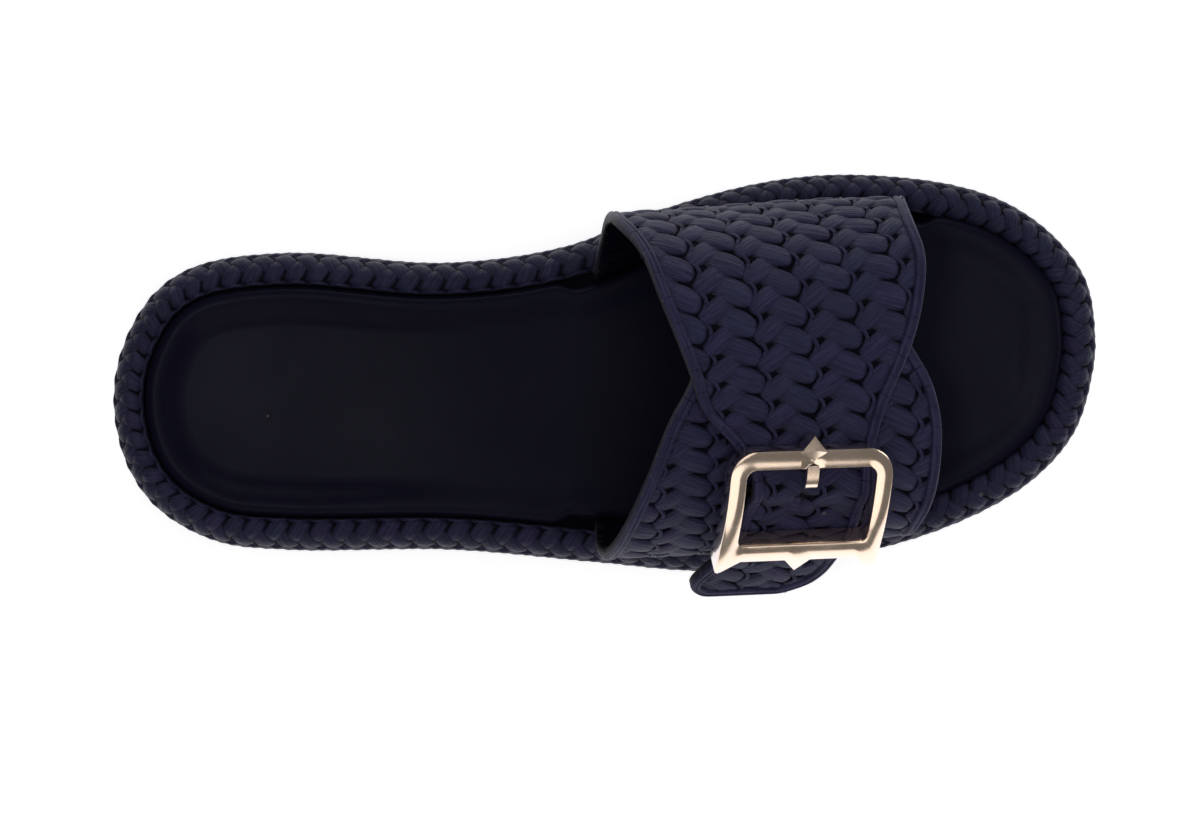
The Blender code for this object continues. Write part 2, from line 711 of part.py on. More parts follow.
def make_lateral_strap(collection, material):
    """Strap from under the medial one down to its leg in the sole."""
    first = LATERAL_EDGES[0].girth * GIRTH_MEDIAL
    base = LATERAL_EDGES[-1].girth * GIRTH_LATERAL
    rows = strap_rows(first, base, ()) + [(base + LEG_DEPTH, None)]
    gaps = (0.0, 0.8 * GIRTH_LATERAL)
    make_strap("strap_lateral", LATERAL_EDGES, lateral_point, rows, gaps, collection, material)


def make_frame(collection, cutters, material):
    """Curved frame with its points and feet, notched for the prong and joined to its centre bar."""
    right = frame_stations()
    left = [((-a[0], a[1]), (-b[0], b[1])) for a, b in right[-2:0:-1]]
    bm = bmesh.new()
    rings = []
    for outer, inner in right + left:
        away = np.array(outer) - np.array(inner)
        away *= BUCKLE_EDGE / np.linalg.norm(away)
        section = (
            (outer, FRAME_BASE),
            (outer, FRAME_TOP - BUCKLE_EDGE),
            (np.array(outer) - away, FRAME_TOP),
            (np.array(inner) + away, FRAME_TOP),
            (inner, FRAME_TOP - BUCKLE_EDGE),
            (inner, FRAME_BASE),
        )
        rings.append([bm.verts.new(on_buckle(place[0], place[1], h)) for place, h in section])
    for ring, following in zip(rings, rings[1:] + rings[:1]):
        for i in range(len(ring)):
            j = (i + 1) % len(ring)
            bm.faces.new((ring[i], following[i], following[j], ring[j]))
    face_outward(bm)
    frame = new_object("buckle_frame", bm, collection, material, math.radians(35))
    reach = BUCKLE_WIDTH / 2 - BUCKLE_SIDE / 2
    bend = 1.2 * CENTRE_BAR_RADIUS
    route = (
        (reach, FRAME_BASE + BUCKLE_EDGE),
        (reach, BAR_LEVEL + bend),
        (reach - bend, BAR_LEVEL),
    )
    points = [on_buckle(p, CENTRE_BAR_AT, h) for p, h in route]
    points += [on_buckle(-p, CENTRE_BAR_AT, h) for p, h in route[::-1]]
    bar = cutter_object("centre_bar", tube("centre_bar", points, CENTRE_BAR_RADIUS, cutters), cutters, material)
    apply_boolean(frame, bar, "UNION")
    size = 2 * NOTCH_RADIUS
    low = FRAME_TOP - BUCKLE_DEPTH / 2
    notch = oval_cutter("notch", BUCKLE_BAR, size, size, low, 2 * FRAME_TOP, cutters, material)
    apply_boolean(frame, notch, "DIFFERENCE")
    return frame


def make_prong(collection, material):
    """Prong from the top of the centre bar, out through the strap, to the notch."""
    hook = CENTRE_BAR_RADIUS + CLEARANCE + PRONG_RADIUS
    points = []
    for turn in (0.40, 0.0, -0.40):
        points.append((CENTRE_BAR_AT + hook * math.sin(turn), BAR_LEVEL + hook * math.cos(turn) + 0.0001))
    tip_level = FRAME_TOP - BUCKLE_DEPTH / 2 + CLEARANCE + PRONG_RADIUS
    points.append((BUCKLE_BAR + 1.5 * PRONG_RADIUS, tip_level))
    points.append((BUCKLE_BAR - NOTCH_RADIUS + 2 * CLEARANCE, tip_level))
    bm = tube("buckle_prong", [on_buckle(0.0, q, h) for q, h in points], PRONG_RADIUS, collection)
    return new_object("buckle_prong", bm, collection, material, math.radians(35))


def main():
    for obj in list(bpy.data.objects):
        bpy.data.objects.remove(obj, do_unlink=True)
    parts = bpy.data.collections.new("slide_sandal")
    cutters = bpy.data.collections.new("slide_sandal_cutters")
    bpy.context.scene.collection.children.link(parts)
    bpy.context.scene.collection.children.link(cutters)
    rubber = make_material("navy_rubber", (0.012, 0.013, 0.032), 0.62, 0.0)
    lining = make_material("navy_footbed", (0.008, 0.009, 0.018), 0.75, 0.0)
    gold = make_material("pale_gold", (0.83, 0.68, 0.52), 0.22, 1.0)
    make_sole(parts, rubber)
    make_insole(parts, lining)
    make_medial_strap(parts, cutters, rubber)
    make_lateral_strap(parts, rubber)
    make_frame(parts, cutters, gold)
    make_prong(parts, gold)


main()
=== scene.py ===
import math

import bmesh
import bpy
import numpy as np
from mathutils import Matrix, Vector
from mathutils.geometry import delaunay_2d_cdt


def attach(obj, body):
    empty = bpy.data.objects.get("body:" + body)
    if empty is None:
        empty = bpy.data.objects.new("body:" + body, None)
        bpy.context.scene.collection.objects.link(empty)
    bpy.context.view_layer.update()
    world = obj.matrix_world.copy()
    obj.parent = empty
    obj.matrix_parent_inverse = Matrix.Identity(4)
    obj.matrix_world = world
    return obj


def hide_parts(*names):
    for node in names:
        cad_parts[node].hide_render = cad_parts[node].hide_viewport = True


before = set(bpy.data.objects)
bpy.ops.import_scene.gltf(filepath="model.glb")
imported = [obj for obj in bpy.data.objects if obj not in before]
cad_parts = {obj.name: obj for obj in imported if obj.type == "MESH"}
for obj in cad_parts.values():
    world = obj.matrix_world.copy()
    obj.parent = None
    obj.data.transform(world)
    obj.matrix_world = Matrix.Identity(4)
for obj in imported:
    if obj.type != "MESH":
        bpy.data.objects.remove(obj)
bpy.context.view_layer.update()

# Metres, +X to the toe, +Y to the medial side, +Z up, origin on the floor under mid-length.
medialSide = 1
lateralSide = -1
mm = 0.001

print("stage: sizes of the last and the straps")
last = {
    "length": 0.262,
    "ballWidth": 0.105,
    "heelHeight": 0.030,
    "forefootHeight": 0.0245,
    "toeSpring": 0.006,
    "toeSpringStart": 0.056,
    "heelBevel": 0.0022,
    "heelBevelStart": 0.110,
    "slopeStart": 0.040,
    "slopeEnd": -0.070,
    "rimWidth": 0.0088,
    "wellDepth": 0.0075,
    "clearance": 0.0003,
    "baseRise": 0.0016,
    "instepHeight": 0.056,
}
# Outline as shares of length and ball width: from the heel tip along the lateral side to the toe and back
# along the medial side.
outlinePoints = (
    (-0.5000, -0.076), (-0.4870, -0.237), (-0.4550, -0.352), (-0.3965, -0.434), (-0.3240, -0.456),
    (-0.1573, -0.456), (-0.0110, -0.488), (0.1000, -0.511), (0.2180, -0.487), (0.3450, -0.404),
    (0.4328, -0.287), (0.4794, -0.155), (0.4980, 0.005), (0.5000, 0.085), (0.4912, 0.224),
    (0.4618, 0.332), (0.4153, 0.420), (0.3569, 0.472), (0.2489, 0.499), (0.1641, 0.480),
    (0.0584, 0.410), (-0.0405, 0.315), (-0.1634, 0.273), (-0.3263, 0.298), (-0.4172, 0.264),
    (-0.4595, 0.194), (-0.4901, 0.064),
)
# Side of the sole from the well over the rim to the floor: inset as a share of the rim width, height as a
# share of the local thickness.
rimRows = (
    (1.00, 0.93), (0.80, 0.98), (0.52, 1.00), (0.26, 0.94), (0.10, 0.80), (0.04, 0.65), (0.03, 0.49),
    (0.05, 0.33), (0.10, 0.17), (0.16, 0.05), (0.60, 0.00),
)
# Sections of the arch: along, medial, lateral, ridge, crown, widest.
archRows = (
    (-0.040, 0.372, 0.466, 0.035, 1.10, 0.38),
    (0.076, 0.391, 0.455, 0.045, 1.00, 0.36),
    (0.190, 0.413, 0.436, 0.055, 0.86, 0.32),
    (0.345, 0.426, 0.392, 0.070, 0.66, 0.27),
)
strap = {
    "wall": 0.0020,
    "relief": 0.0007,
    "length": 0.083,
    "lean": 0.014,
    "leanSpan": 0.075,
    "leanAt": 0.030,
    "sectionAt": 0.045,
    "fadeStart": 0.60,
    "fade": 0.38,
    "blend": 0.014,
    "blendMargin": 0.002,
    "barBulge": 0.0042,
    "tailBend": 0.12,
    "tailRadius": 0.022,
}
# Edges of each strap: share of the girth, rear edge, front edge.
medialEdges = (
    (-1.00, -0.035, 0.950), (-0.62, 0.005, 0.945), (-0.42, 0.040, 0.962), (-0.28, 0.110, 0.982),
    (-0.14, 0.162, 0.970), (0.00, 0.222, 0.935), (0.10, 0.262, 0.890), (0.19, 0.290, 0.846),
    (0.27, 0.360, 0.822), (0.36, 0.428, 0.813), (0.52, 0.412, 0.797), (0.64, 0.385, 0.772),
    (0.73, 0.345, 0.740), (0.81, 0.290, 0.705), (0.88, 0.265, 0.640), (0.92, 0.300, 0.560),
)
lateralEdges = (
    (-0.16, 0.420, 0.780), (-0.11, 0.340, 0.870), (0.00, 0.285, 0.935), (0.10, 0.262, 1.000),
    (0.20, 0.203, 1.034), (0.34, 0.144, 1.041), (0.48, 0.084, 1.025), (0.64, 0.022, 0.982),
    (0.80, -0.020, 0.955), (1.00, -0.030, 0.945),
)
buckle = {
    "width": 0.0418,
    "height": 0.0270,
    "side": 0.0044,
    "depth": 0.0054,
    "corner": 0.0068,
    "point": 0.0046,
    "pointWidth": 0.0068,
    "barRadius": 0.0011,
    "barAt": 0.0092,
    "touchAt": 0.0060,
    "curve": 0.052,
    "girth": 0.385,
    "along": 0.0520,
    "turn": 0.055,
}
lift = strap["wall"] + strap["relief"] + 2 * last["clearance"]
legDepth = last["wellDepth"] + last["baseRise"] - 2 * last["clearance"]
frameBase = strap["relief"] + 2 * last["clearance"]
frameTop = frameBase + buckle["depth"]
barLift = 2 * buckle["barRadius"] + last["clearance"]
barLevel = barLift - strap["wall"] - last["clearance"] - buckle["barRadius"]


def smoothStep(value):
    value = np.clip(value, 0.0, 1.0)
    return value * value * (3.0 - 2.0 * value)


def readRows(rows, column, at):
    # Smooth reading of one column of the rows, at places in their first column
    xs = np.array([row[0] for row in rows])
    ys = np.array([row[column] for row in rows])
    slopes = np.gradient(ys, xs)
    at = np.clip(at, xs[0], xs[-1])
    i = np.clip(np.searchsorted(xs, at, side="right") - 1, 0, len(xs) - 2)
    span = xs[i + 1] - xs[i]
    u = (at - xs[i]) / span
    return (
        (2 * u**3 - 3 * u**2 + 1) * ys[i]
        + (u**3 - 2 * u**2 + u) * span * slopes[i]
        + (3 * u**2 - 2 * u**3) * ys[i + 1]
        + (u**3 - u**2) * span * slopes[i + 1]
    )


def closedCurve(points, perSpan):
    # Closed spline through the points, with perSpan samples from each to the next
    samples = []
    count = len(points)
    for i in range(count):
        p0, p1, p2, p3 = (points[(i + k) % count] for k in (-1, 0, 1, 2))
        knots = [0.0]
        for a, b in ((p0, p1), (p1, p2), (p2, p3)):
            knots.append(knots[-1] + math.sqrt(np.linalg.norm(b - a)))
        t0, t1, t2, t3 = knots
        for j in range(perSpan):
            t = t1 + (t2 - t1) * j / perSpan
            a1 = (t1 - t) / (t1 - t0) * p0 + (t - t0) / (t1 - t0) * p1
            a2 = (t2 - t) / (t2 - t1) * p1 + (t - t1) / (t2 - t1) * p2
            a3 = (t3 - t) / (t3 - t2) * p2 + (t - t2) / (t3 - t2) * p3
            b1 = (t2 - t) / (t2 - t0) * a1 + (t - t0) / (t2 - t0) * a2
            b2 = (t3 - t) / (t3 - t1) * a2 + (t - t1) / (t3 - t1) * a3
            samples.append((t2 - t) / (t2 - t1) * b1 + (t - t1) / (t2 - t1) * b2)
    return np.array(samples)


perSpan = 24
toePoint = 13
outlineDense = closedCurve(
    np.array([(x * last["length"], y * last["ballWidth"]) for x, y in outlinePoints]), perSpan
)
outlineSteps = np.linalg.norm(np.roll(outlineDense, -1, axis=0) - outlineDense, axis=1)
outlineLength = np.concatenate([[0.0], np.cumsum(outlineSteps)])
perimeter = float(outlineLength[-1])
outlineClosed = np.concatenate([outlineDense, outlineDense[:1]])


def outlineAt(s):
    # Place on the outline and its outward normal, s metres from the heel tip
    s = np.mod(s, perimeter)
    place = np.stack([np.interp(s, outlineLength, outlineClosed[:, k]) for k in (0, 1)], axis=-1)
    ahead, behind = (np.mod(s + step, perimeter) for step in (0.002, -0.002))
    tangent = np.stack(
        [np.interp(ahead, outlineLength, outlineClosed[:, k])
         - np.interp(behind, outlineLength, outlineClosed[:, k]) for k in (0, 1)], axis=-1)
    tangent /= np.linalg.norm(tangent, axis=-1)[..., None]
    return place, np.stack([tangent[..., 1], -tangent[..., 0]], axis=-1)


def endShare(x, start):
    # 0 up to the start, 1 at the tip of the sole
    return np.clip((x - start) / (last["length"] / 2 - start), 0.0, 1.1)


def soleBottom(x):
    toe = endShare(x, last["toeSpringStart"])
    heel = endShare(-x, last["heelBevelStart"])
    return last["toeSpring"] * toe**2 + last["heelBevel"] * heel**2


def soleTop(x):
    rise = smoothStep((last["slopeStart"] - x) / (last["slopeStart"] - last["slopeEnd"]))
    toe = endShare(x, last["toeSpringStart"])
    high = last["forefootHeight"] + (last["heelHeight"] - last["forefootHeight"]) * rise
    return high + last["toeSpring"] * 0.6 * toe**2


def rimEdge(x, side):
    s = np.linspace(0.0, perimeter, 640, endpoint=False)
    ring, normal = outlineAt(s)
    inner = ring - normal * last["rimWidth"]
    half = inner[ring[:, 1] < 0] if side == lateralSide else inner[ring[:, 1] > 0]
    order = np.argsort(half[:, 0])
    return np.interp(x, half[order, 0], half[order, 1])


def archFrame(x):
    share = x / last["length"]
    read = [readRows(archRows, column, share) for column in range(1, 6)]
    medial, lateral, ridge, crown, widest = read
    rim = soleTop(x) + last["baseRise"]
    ridge = ridge * last["ballWidth"]
    reach = {medialSide: medial * last["ballWidth"] - ridge, lateralSide: lateral * last["ballWidth"] + ridge}
    base = {side: side * (rimEdge(x, side) - side * last["clearance"] - ridge) for side in reach}
    top = rim + crown * last["instepHeight"] + strap["wall"]
    return {"rim": rim, "ridge": ridge, "reach": reach, "base": base, "crown": top,
            "widest": rim + widest * last["instepHeight"]}


def sectionPoint(section, side, share):
    reach = section["reach"][side]
    baseAngle = math.pi - np.arcsin(np.minimum(section["base"][side] / reach, 0.995))
    angle = share * baseAngle
    up = section["crown"] - section["widest"]
    down = (section["widest"] - section["rim"]) / -np.cos(baseAngle)
    rise = np.where(angle <= math.pi / 2, up, down)
    return section["ridge"] + side * reach * np.sin(angle), section["widest"] + rise * np.cos(angle)


def girthTable(side):
    shares = np.linspace(0.0, 1.0, 200)
    section = archFrame(np.full(200, strap["sectionAt"]))
    points = np.stack(sectionPoint(section, side, shares), axis=1)
    steps = np.linalg.norm(np.diff(points, axis=0), axis=1)
    return np.concatenate([[0.0], np.cumsum(steps)]), shares


girths = {side: girthTable(side) for side in (medialSide, lateralSide)}
girthMedial = float(girths[medialSide][0][-1])
girthLateral = float(girths[lateralSide][0][-1])


def leanShift(v):
    v = np.clip(v, -girthMedial, girthLateral)
    return strap["lean"] * ((v - strap["leanAt"]) / strap["leanSpan"]) ** 2


def archPoint(t, v):
    # t runs along the foot at the crown, v along the strap: below 0 medial, over 0 lateral
    t, v = np.broadcast_arrays(np.asarray(t, float), np.asarray(v, float))
    x = t - leanShift(v)
    section = archFrame(x)
    y = np.zeros_like(x)
    z = np.zeros_like(x)
    for side in (medialSide, lateralSide):
        lengths, shares = girths[side]
        mask = v < 0 if side == medialSide else v >= 0
        ys, zs = sectionPoint(section, side, np.interp(np.abs(v), lengths, shares))
        y = np.where(mask, ys, y)
        z = np.where(mask, zs - np.maximum(np.abs(v) - lengths[-1], 0.0), z)
    return np.stack([x, y, z], axis=-1)


def unit(vectors):
    return vectors / np.linalg.norm(vectors, axis=-1)[..., None]


def archNormal(t, v):
    step = 0.0006
    along = archPoint(t + step, v) - archPoint(t - step, v)
    around = archPoint(t, v + step) - archPoint(t, v - step)
    return unit(np.cross(along, -around))


def liftedPoint(t, v):
    rise = lift * smoothStep((v / girthMedial + strap["fadeStart"]) / strap["fade"])
    return archPoint(t, v) + archNormal(t, v) * rise[..., None]


touchV = buckle["girth"] * girthLateral


def buckleAxes():
    t, v = np.array(buckle["along"]), np.array(touchV)
    origin = liftedPoint(t, v)
    down = unit(liftedPoint(t, v + 0.001) - origin)
    outward = archNormal(t, v)
    outward = unit(outward - down * outward.dot(down))
    along = np.cross(outward, down)
    turned = down * math.cos(buckle["turn"]) - along * math.sin(buckle["turn"])
    return origin, np.cross(outward, turned), turned, outward


buckleOrigin, buckleAlong, buckleDown, buckleOut = buckleAxes()


def onBuckle(p, q, h):
    # p along the foot, q down from the frame's top edge, h outward
    p, q, h = (a[..., None] for a in np.broadcast_arrays(*(np.asarray(a, float) for a in (p, q, h))))
    angle = (q - buckle["touchAt"]) / buckle["curve"]
    normal = buckleOut * np.cos(angle) + buckleDown * np.sin(angle)
    return buckleOrigin - buckleOut * buckle["curve"] + buckleAlong * p + normal * (buckle["curve"] + h)


def bentPoint(p, q, relief):
    over = np.maximum(q - buckle["height"], 0.0)
    angle = np.minimum(over / strap["tailRadius"], strap["tailBend"])
    rest = over - strap["tailRadius"] * angle
    flatQ = np.minimum(q, buckle["height"])
    foot = onBuckle(p, flatQ, 0.0)
    outward = onBuckle(p, flatQ, 1.0) - foot
    down = np.cross(buckleAlong, outward)
    reach = strap["tailRadius"] * np.sin(angle) + rest * np.cos(angle) + relief * np.sin(angle)
    drop = strap["tailRadius"] * (1 - np.cos(angle)) + rest * np.sin(angle) - relief * np.cos(angle)
    bulge = barLift * np.exp(-(((q - buckle["barAt"]) / strap["barBulge"]) ** 2))
    return foot + down * reach[..., None] + outward * (bulge - drop)[..., None]


def medialPoint(t, v, relief):
    q = v - touchV + buckle["touchAt"]
    share = smoothStep(1.0 + (q + strap["blendMargin"]) / strap["blend"])[..., None]
    onArch = liftedPoint(t, v) + archNormal(t, v) * relief[..., None]
    return onArch * (1.0 - share) + bentPoint(t - buckle["along"], q, relief) * share


def lateralPoint(t, v, relief):
    return archPoint(t, v) + archNormal(t, v) * relief[..., None]


# Arc places of the rim's rows at a middling thickness, so that the braid keeps its size on the way down.
rimThickness = 0.027
rimInset = np.array([row[0] for row in rimRows]) * last["rimWidth"]
rimHeight = np.array([row[1] for row in rimRows])
rimArc = np.concatenate([[0.0], np.cumsum(np.hypot(np.diff(rimInset), np.diff(rimHeight) * rimThickness))])
arcDense = np.linspace(0.0, rimArc[-1], 240)
insetDense = readRows(tuple(zip(rimArc, rimInset)), 1, arcDense)
heightDense = readRows(tuple(zip(rimArc, rimHeight)), 1, arcDense)


def rimPoint(s, arc, h):
    # s runs along the outline, arc from the well over the rim to the floor, h outward
    place, outward = outlineAt(s)
    low = soleBottom(place[..., 0])
    thick = soleTop(place[..., 0]) - low
    inset = np.interp(arc, arcDense, insetDense) - np.minimum(arc, 0.0) * 0.35
    height = low + thick * np.interp(arc, arcDense, heightDense) + np.minimum(arc, 0.0)
    step = 0.0012
    dIn = np.interp(arc + step, arcDense, insetDense) - np.interp(arc - step, arcDense, insetDense)
    dUp = (np.interp(arc + step, arcDense, heightDense) - np.interp(arc - step, arcDense, heightDense)) * thick
    size = np.maximum(np.hypot(dIn, dUp), 1e-9)
    out = -dUp / size * h - inset
    up = -dIn / size * h + height
    flat = place + outward * out[..., None]
    return np.concatenate([flat, up[..., None]], axis=-1)


print("stage: shader groups and materials")


def link(tree, socket, value):
    if isinstance(value, bpy.types.NodeSocket):
        tree.links.new(value, socket)
    else:
        socket.default_value = value


def fill(tree, node, sockets):
    for key, value in sockets.items():
        link(tree, node.inputs[key], value)
    return node


def addNode(tree, kind, sockets=None, **settings):
    made = tree.nodes.new(kind)
    for key, value in settings.items():
        setattr(made, key, value)
    return fill(tree, made, sockets or {})


def mathNode(tree, operation, a, b=0.0, clamp=False):
    return addNode(tree, "ShaderNodeMath", {0: a, 1: b}, operation=operation, use_clamp=clamp).outputs[0]


def spread(tree, value, low, high, first=0.0, last=1.0):
    # Maps low to high onto first to last
    return addNode(tree, "ShaderNodeMapRange", {0: value, 1: low, 2: high, 3: first, 4: last}).outputs[0]


def mixColour(tree, share, a, b, blend="MIX"):
    made = addNode(tree, "ShaderNodeMix", {0: share, 6: a, 7: b}, data_type="RGBA", blend_type=blend)
    return made.outputs[2]


def newGroup(kind, name, inputs, outputs):
    tree = bpy.data.node_groups.new(name, kind)
    for title, socketType, value in inputs:
        socket = tree.interface.new_socket(name=title, in_out="INPUT", socket_type="NodeSocket" + socketType)
        if value is not None:
            socket.default_value = value
    for title, socketType in outputs:
        tree.interface.new_socket(name=title, in_out="OUTPUT", socket_type="NodeSocket" + socketType)
    return tree, tree.nodes.new("NodeGroupInput").outputs, tree.nodes.new("NodeGroupOutput").inputs


def fibreGroup():
    # Long grooves of a raffia strand: U runs along the strand, V across it
    tree, given, result = newGroup(
        "ShaderNodeTree", "fibreGrain",
        (("Vector", "Vector", None), ("Fibres", "Float", 22.0), ("Tone", "Float", 0.0)),
        (("Height", "Float"), ("Shade", "Float")),
    )
    parts = addNode(tree, "ShaderNodeSeparateXYZ", {0: given["Vector"]})
    along = mathNode(tree, "MULTIPLY", parts.outputs[0], 1.3)
    across = mathNode(tree, "MULTIPLY", parts.outputs[1], given["Fibres"])
    offset = mathNode(tree, "MULTIPLY", given["Tone"], 37.0)
    coarse = addNode(tree, "ShaderNodeCombineXYZ", {0: along, 1: across, 2: offset})
    grooves = addNode(tree, "ShaderNodeTexNoise", {
        "Vector": coarse.outputs[0], "Scale": 1.0, "Detail": 2.0, "Roughness": 0.55})
    fineAcross = mathNode(tree, "MULTIPLY", across, 2.7)
    fineAlong = mathNode(tree, "MULTIPLY", along, 2.0)
    fine = addNode(tree, "ShaderNodeCombineXYZ", {0: fineAlong, 1: fineAcross, 2: offset})
    threads = addNode(tree, "ShaderNodeTexNoise", {"Vector": fine.outputs[0], "Scale": 1.0, "Detail": 2.0})
    both = mathNode(tree, "ADD", mathNode(tree, "MULTIPLY", grooves.outputs[0], 0.7),
                    mathNode(tree, "MULTIPLY", threads.outputs[0], 0.3))
    link(tree, result["Height"], both)
    link(tree, result["Shade"], spread(tree, both, 0.40, 0.60))
    return tree


def mottleGroup():
    # Broad uneven tone of moulded rubber, and the fine grain of its skin
    tree, given, result = newGroup(
        "ShaderNodeTree", "rubberSkin",
        (("Vector", "Vector", None), ("Patch", "Float", 90.0), ("Grain", "Float", 2600.0)),
        (("Patches", "Float"), ("Grain", "Float")),
    )
    patches, grain = (
        addNode(tree, "ShaderNodeTexNoise", {"Vector": given["Vector"], "Scale": given[key], "Detail": detail})
        for key, detail in (("Patch", 3.0), ("Grain", 1.0)))
    link(tree, result["Patches"], spread(tree, patches.outputs[0], 0.32, 0.68))
    link(tree, result["Grain"], grain.outputs[0])
    return tree


def dustGroup():
    # Few pale specks of lint, each in its own cell
    tree, given, result = newGroup(
        "ShaderNodeTree", "lintSpecks",
        (("Vector", "Vector", None), ("Cells", "Float", 160.0), ("Share", "Float", 0.02),
         ("Size", "Float", 0.09)),
        (("Mask", "Float"),),
    )
    cells = addNode(tree, "ShaderNodeTexVoronoi", {"Vector": given["Vector"], "Scale": given["Cells"]})
    near = mathNode(tree, "LESS_THAN", cells.outputs["Distance"], given["Size"])
    chosen = addNode(tree, "ShaderNodeSeparateColor", {0: cells.outputs["Color"]})
    rare = mathNode(tree, "LESS_THAN", chosen.outputs[0], given["Share"])
    link(tree, result["Mask"], mathNode(tree, "MULTIPLY", near, rare))
    return tree


fibreGrain = fibreGroup()
rubberSkin = mottleGroup()
lintSpecks = dustGroup()


def useGroup(tree, group, sockets):
    return fill(tree, addNode(tree, "ShaderNodeGroup", node_tree=group), sockets).outputs


def newMaterial(name):
    material = bpy.data.materials.new(name)
    material.use_nodes = True
    tree = material.node_tree
    place = addNode(tree, "ShaderNodeTexCoord").outputs["Object"]
    return material, tree, tree.nodes["Principled BSDF"], place


def bumped(tree, height, strength, depth):
    sockets = {"Height": height, "Strength": strength, "Distance": depth}
    return addNode(tree, "ShaderNodeBump", sockets).outputs[0]


rubberLooks = {
    # The first colour is painted shade for the low places between the strands
    "paintedCreviceShade": (0.0008, 0.0008, 0.0030, 1.0),
    "body": (0.0062, 0.0060, 0.0265, 1.0),
    "worn": (0.0215, 0.0215, 0.0640, 1.0),
    "violet": (1.10, 0.93, 1.0, 1.0),
    "steel": (0.88, 1.06, 0.96, 1.0),
    "lint": (0.07, 0.065, 0.068, 1.0),
    "roughLow": 0.46,
    "roughHigh": 0.66,
}


def rubberMaterial(name, fibres, depth, seam=0.0, dim=1.0):
    # Strand rubber: grooves follow the piece's UV, each strand its "tone"; painted shade darkens the crevices,
    # where the "rise" attribute (share of height) is low
    looks = rubberLooks
    material, tree, shader, place = newMaterial(name)
    strand = addNode(tree, "ShaderNodeUVMap", uv_map="strand").outputs[0]
    rise = addNode(tree, "ShaderNodeAttribute", attribute_name="rise").outputs["Fac"]
    tone = addNode(tree, "ShaderNodeAttribute", attribute_name="tone").outputs["Fac"]
    grooves = useGroup(tree, fibreGrain, {"Vector": strand, "Fibres": fibres, "Tone": tone})
    skin = useGroup(tree, rubberSkin, {"Vector": place})
    lint = useGroup(tree, lintSpecks, {"Vector": place})["Mask"]
    lightness = mathNode(tree, "ADD", mathNode(tree, "MULTIPLY", grooves["Shade"], 0.66),
                         mathNode(tree, "MULTIPLY", skin["Patches"], 0.14))
    lightness = mathNode(tree, "ADD", lightness, mathNode(tree, "MULTIPLY", tone, 0.14), clamp=True)
    body, worn = (tuple(part * dim for part in looks[key][:3]) + (1.0,) for key in ("body", "worn"))
    colour = mixColour(tree, lightness, body, worn)
    turn = mathNode(tree, "FRACT", mathNode(tree, "MULTIPLY", tone, 7.3))
    hue = mixColour(tree, turn, looks["violet"], looks["steel"])
    colour = mixColour(tree, 1.0, colour, hue, "MULTIPLY")
    # Painted shade: where the rise is low the colour turns to the crevice shade colour
    colour = mixColour(tree, spread(tree, rise, 0.05, 0.75), looks["paintedCreviceShade"], colour)
    height = mathNode(tree, "ADD", grooves["Height"], mathNode(tree, "MULTIPLY", skin["Grain"], 0.10))
    if seam:
        along = addNode(tree, "ShaderNodeSeparateXYZ", {0: strand}).outputs[0]
        saw = mathNode(tree, "FRACT", mathNode(tree, "MULTIPLY", along, seam))
        wave = mathNode(tree, "ABSOLUTE", mathNode(tree, "SUBTRACT", saw, 0.5))
        height = mathNode(tree, "ADD", height, spread(tree, wave, 0.0, 0.045, -1.1, 0.0))
    fill(tree, shader, {
        "Base Color": mixColour(tree, lint, colour, looks["lint"]),
        "Roughness": spread(tree, lightness, 0.0, 1.0, looks["roughHigh"], looks["roughLow"]),
        "Normal": bumped(tree, height, 0.9, depth),
        "Specular IOR Level": 0.26,
        "Specular Tint": (0.82, 0.80, 1.0, 1.0),
        "Sheen Weight": 0.02,
        "Sheen Roughness": 0.5,
    })
    return material


def footbedMaterial():
    # Matte synthetic leather: fine pebble, soft patches and a few specks
    material, tree, shader, place = newMaterial("navyFootbed")
    skin = useGroup(tree, rubberSkin, {"Vector": place, "Patch": 26.0, "Grain": 1500.0})
    lint = useGroup(tree, lintSpecks, {"Vector": place, "Cells": 190.0, "Share": 0.02, "Size": 0.07})["Mask"]
    pebble = addNode(tree, "ShaderNodeTexVoronoi", {"Vector": place, "Scale": 1250.0}, feature="SMOOTH_F1")
    colour = mixColour(tree, skin["Patches"], (0.0032, 0.0030, 0.0100, 1.0), (0.0047, 0.0044, 0.0128, 1.0))
    height = mathNode(tree, "ADD", mathNode(tree, "MULTIPLY", pebble.outputs["Distance"], 0.8), skin["Grain"])
    fill(tree, shader, {
        "Base Color": mixColour(tree, lint, colour, (0.05, 0.045, 0.045, 1.0)),
        "Roughness": spread(tree, skin["Patches"], 0.0, 1.0, 0.38, 0.33),
        "Normal": bumped(tree, height, 0.3, 0.00006),
        "Specular IOR Level": 0.045,
        "Sheen Weight": 0.01,
        "Sheen Roughness": 0.45,
    })
    return material


def plainRubberMaterial():
    # Smooth moulded rubber inside the straps, in the well and underneath; its base colour, much darker than the
    # strands', is painted shade
    material, tree, shader, place = newMaterial("navySmoothPaintedShade")
    skin = useGroup(tree, rubberSkin, {"Vector": place, "Patch": 60.0, "Grain": 1800.0})
    lint = useGroup(tree, lintSpecks, {"Vector": place, "Cells": 140.0, "Share": 0.02})["Mask"]
    colour = mixColour(tree, skin["Patches"], (0.0009, 0.0009, 0.0034, 1.0), (0.0022, 0.0022, 0.0080, 1.0))
    fill(tree, shader, {
        "Base Color": mixColour(tree, lint, colour, (0.12, 0.11, 0.11, 1.0)),
        "Roughness": spread(tree, skin["Patches"], 0.0, 1.0, 0.68, 0.54),
        "Normal": bumped(tree, skin["Grain"], 0.5, 0.0001),
        "Specular IOR Level": 0.05,
    })
    return material


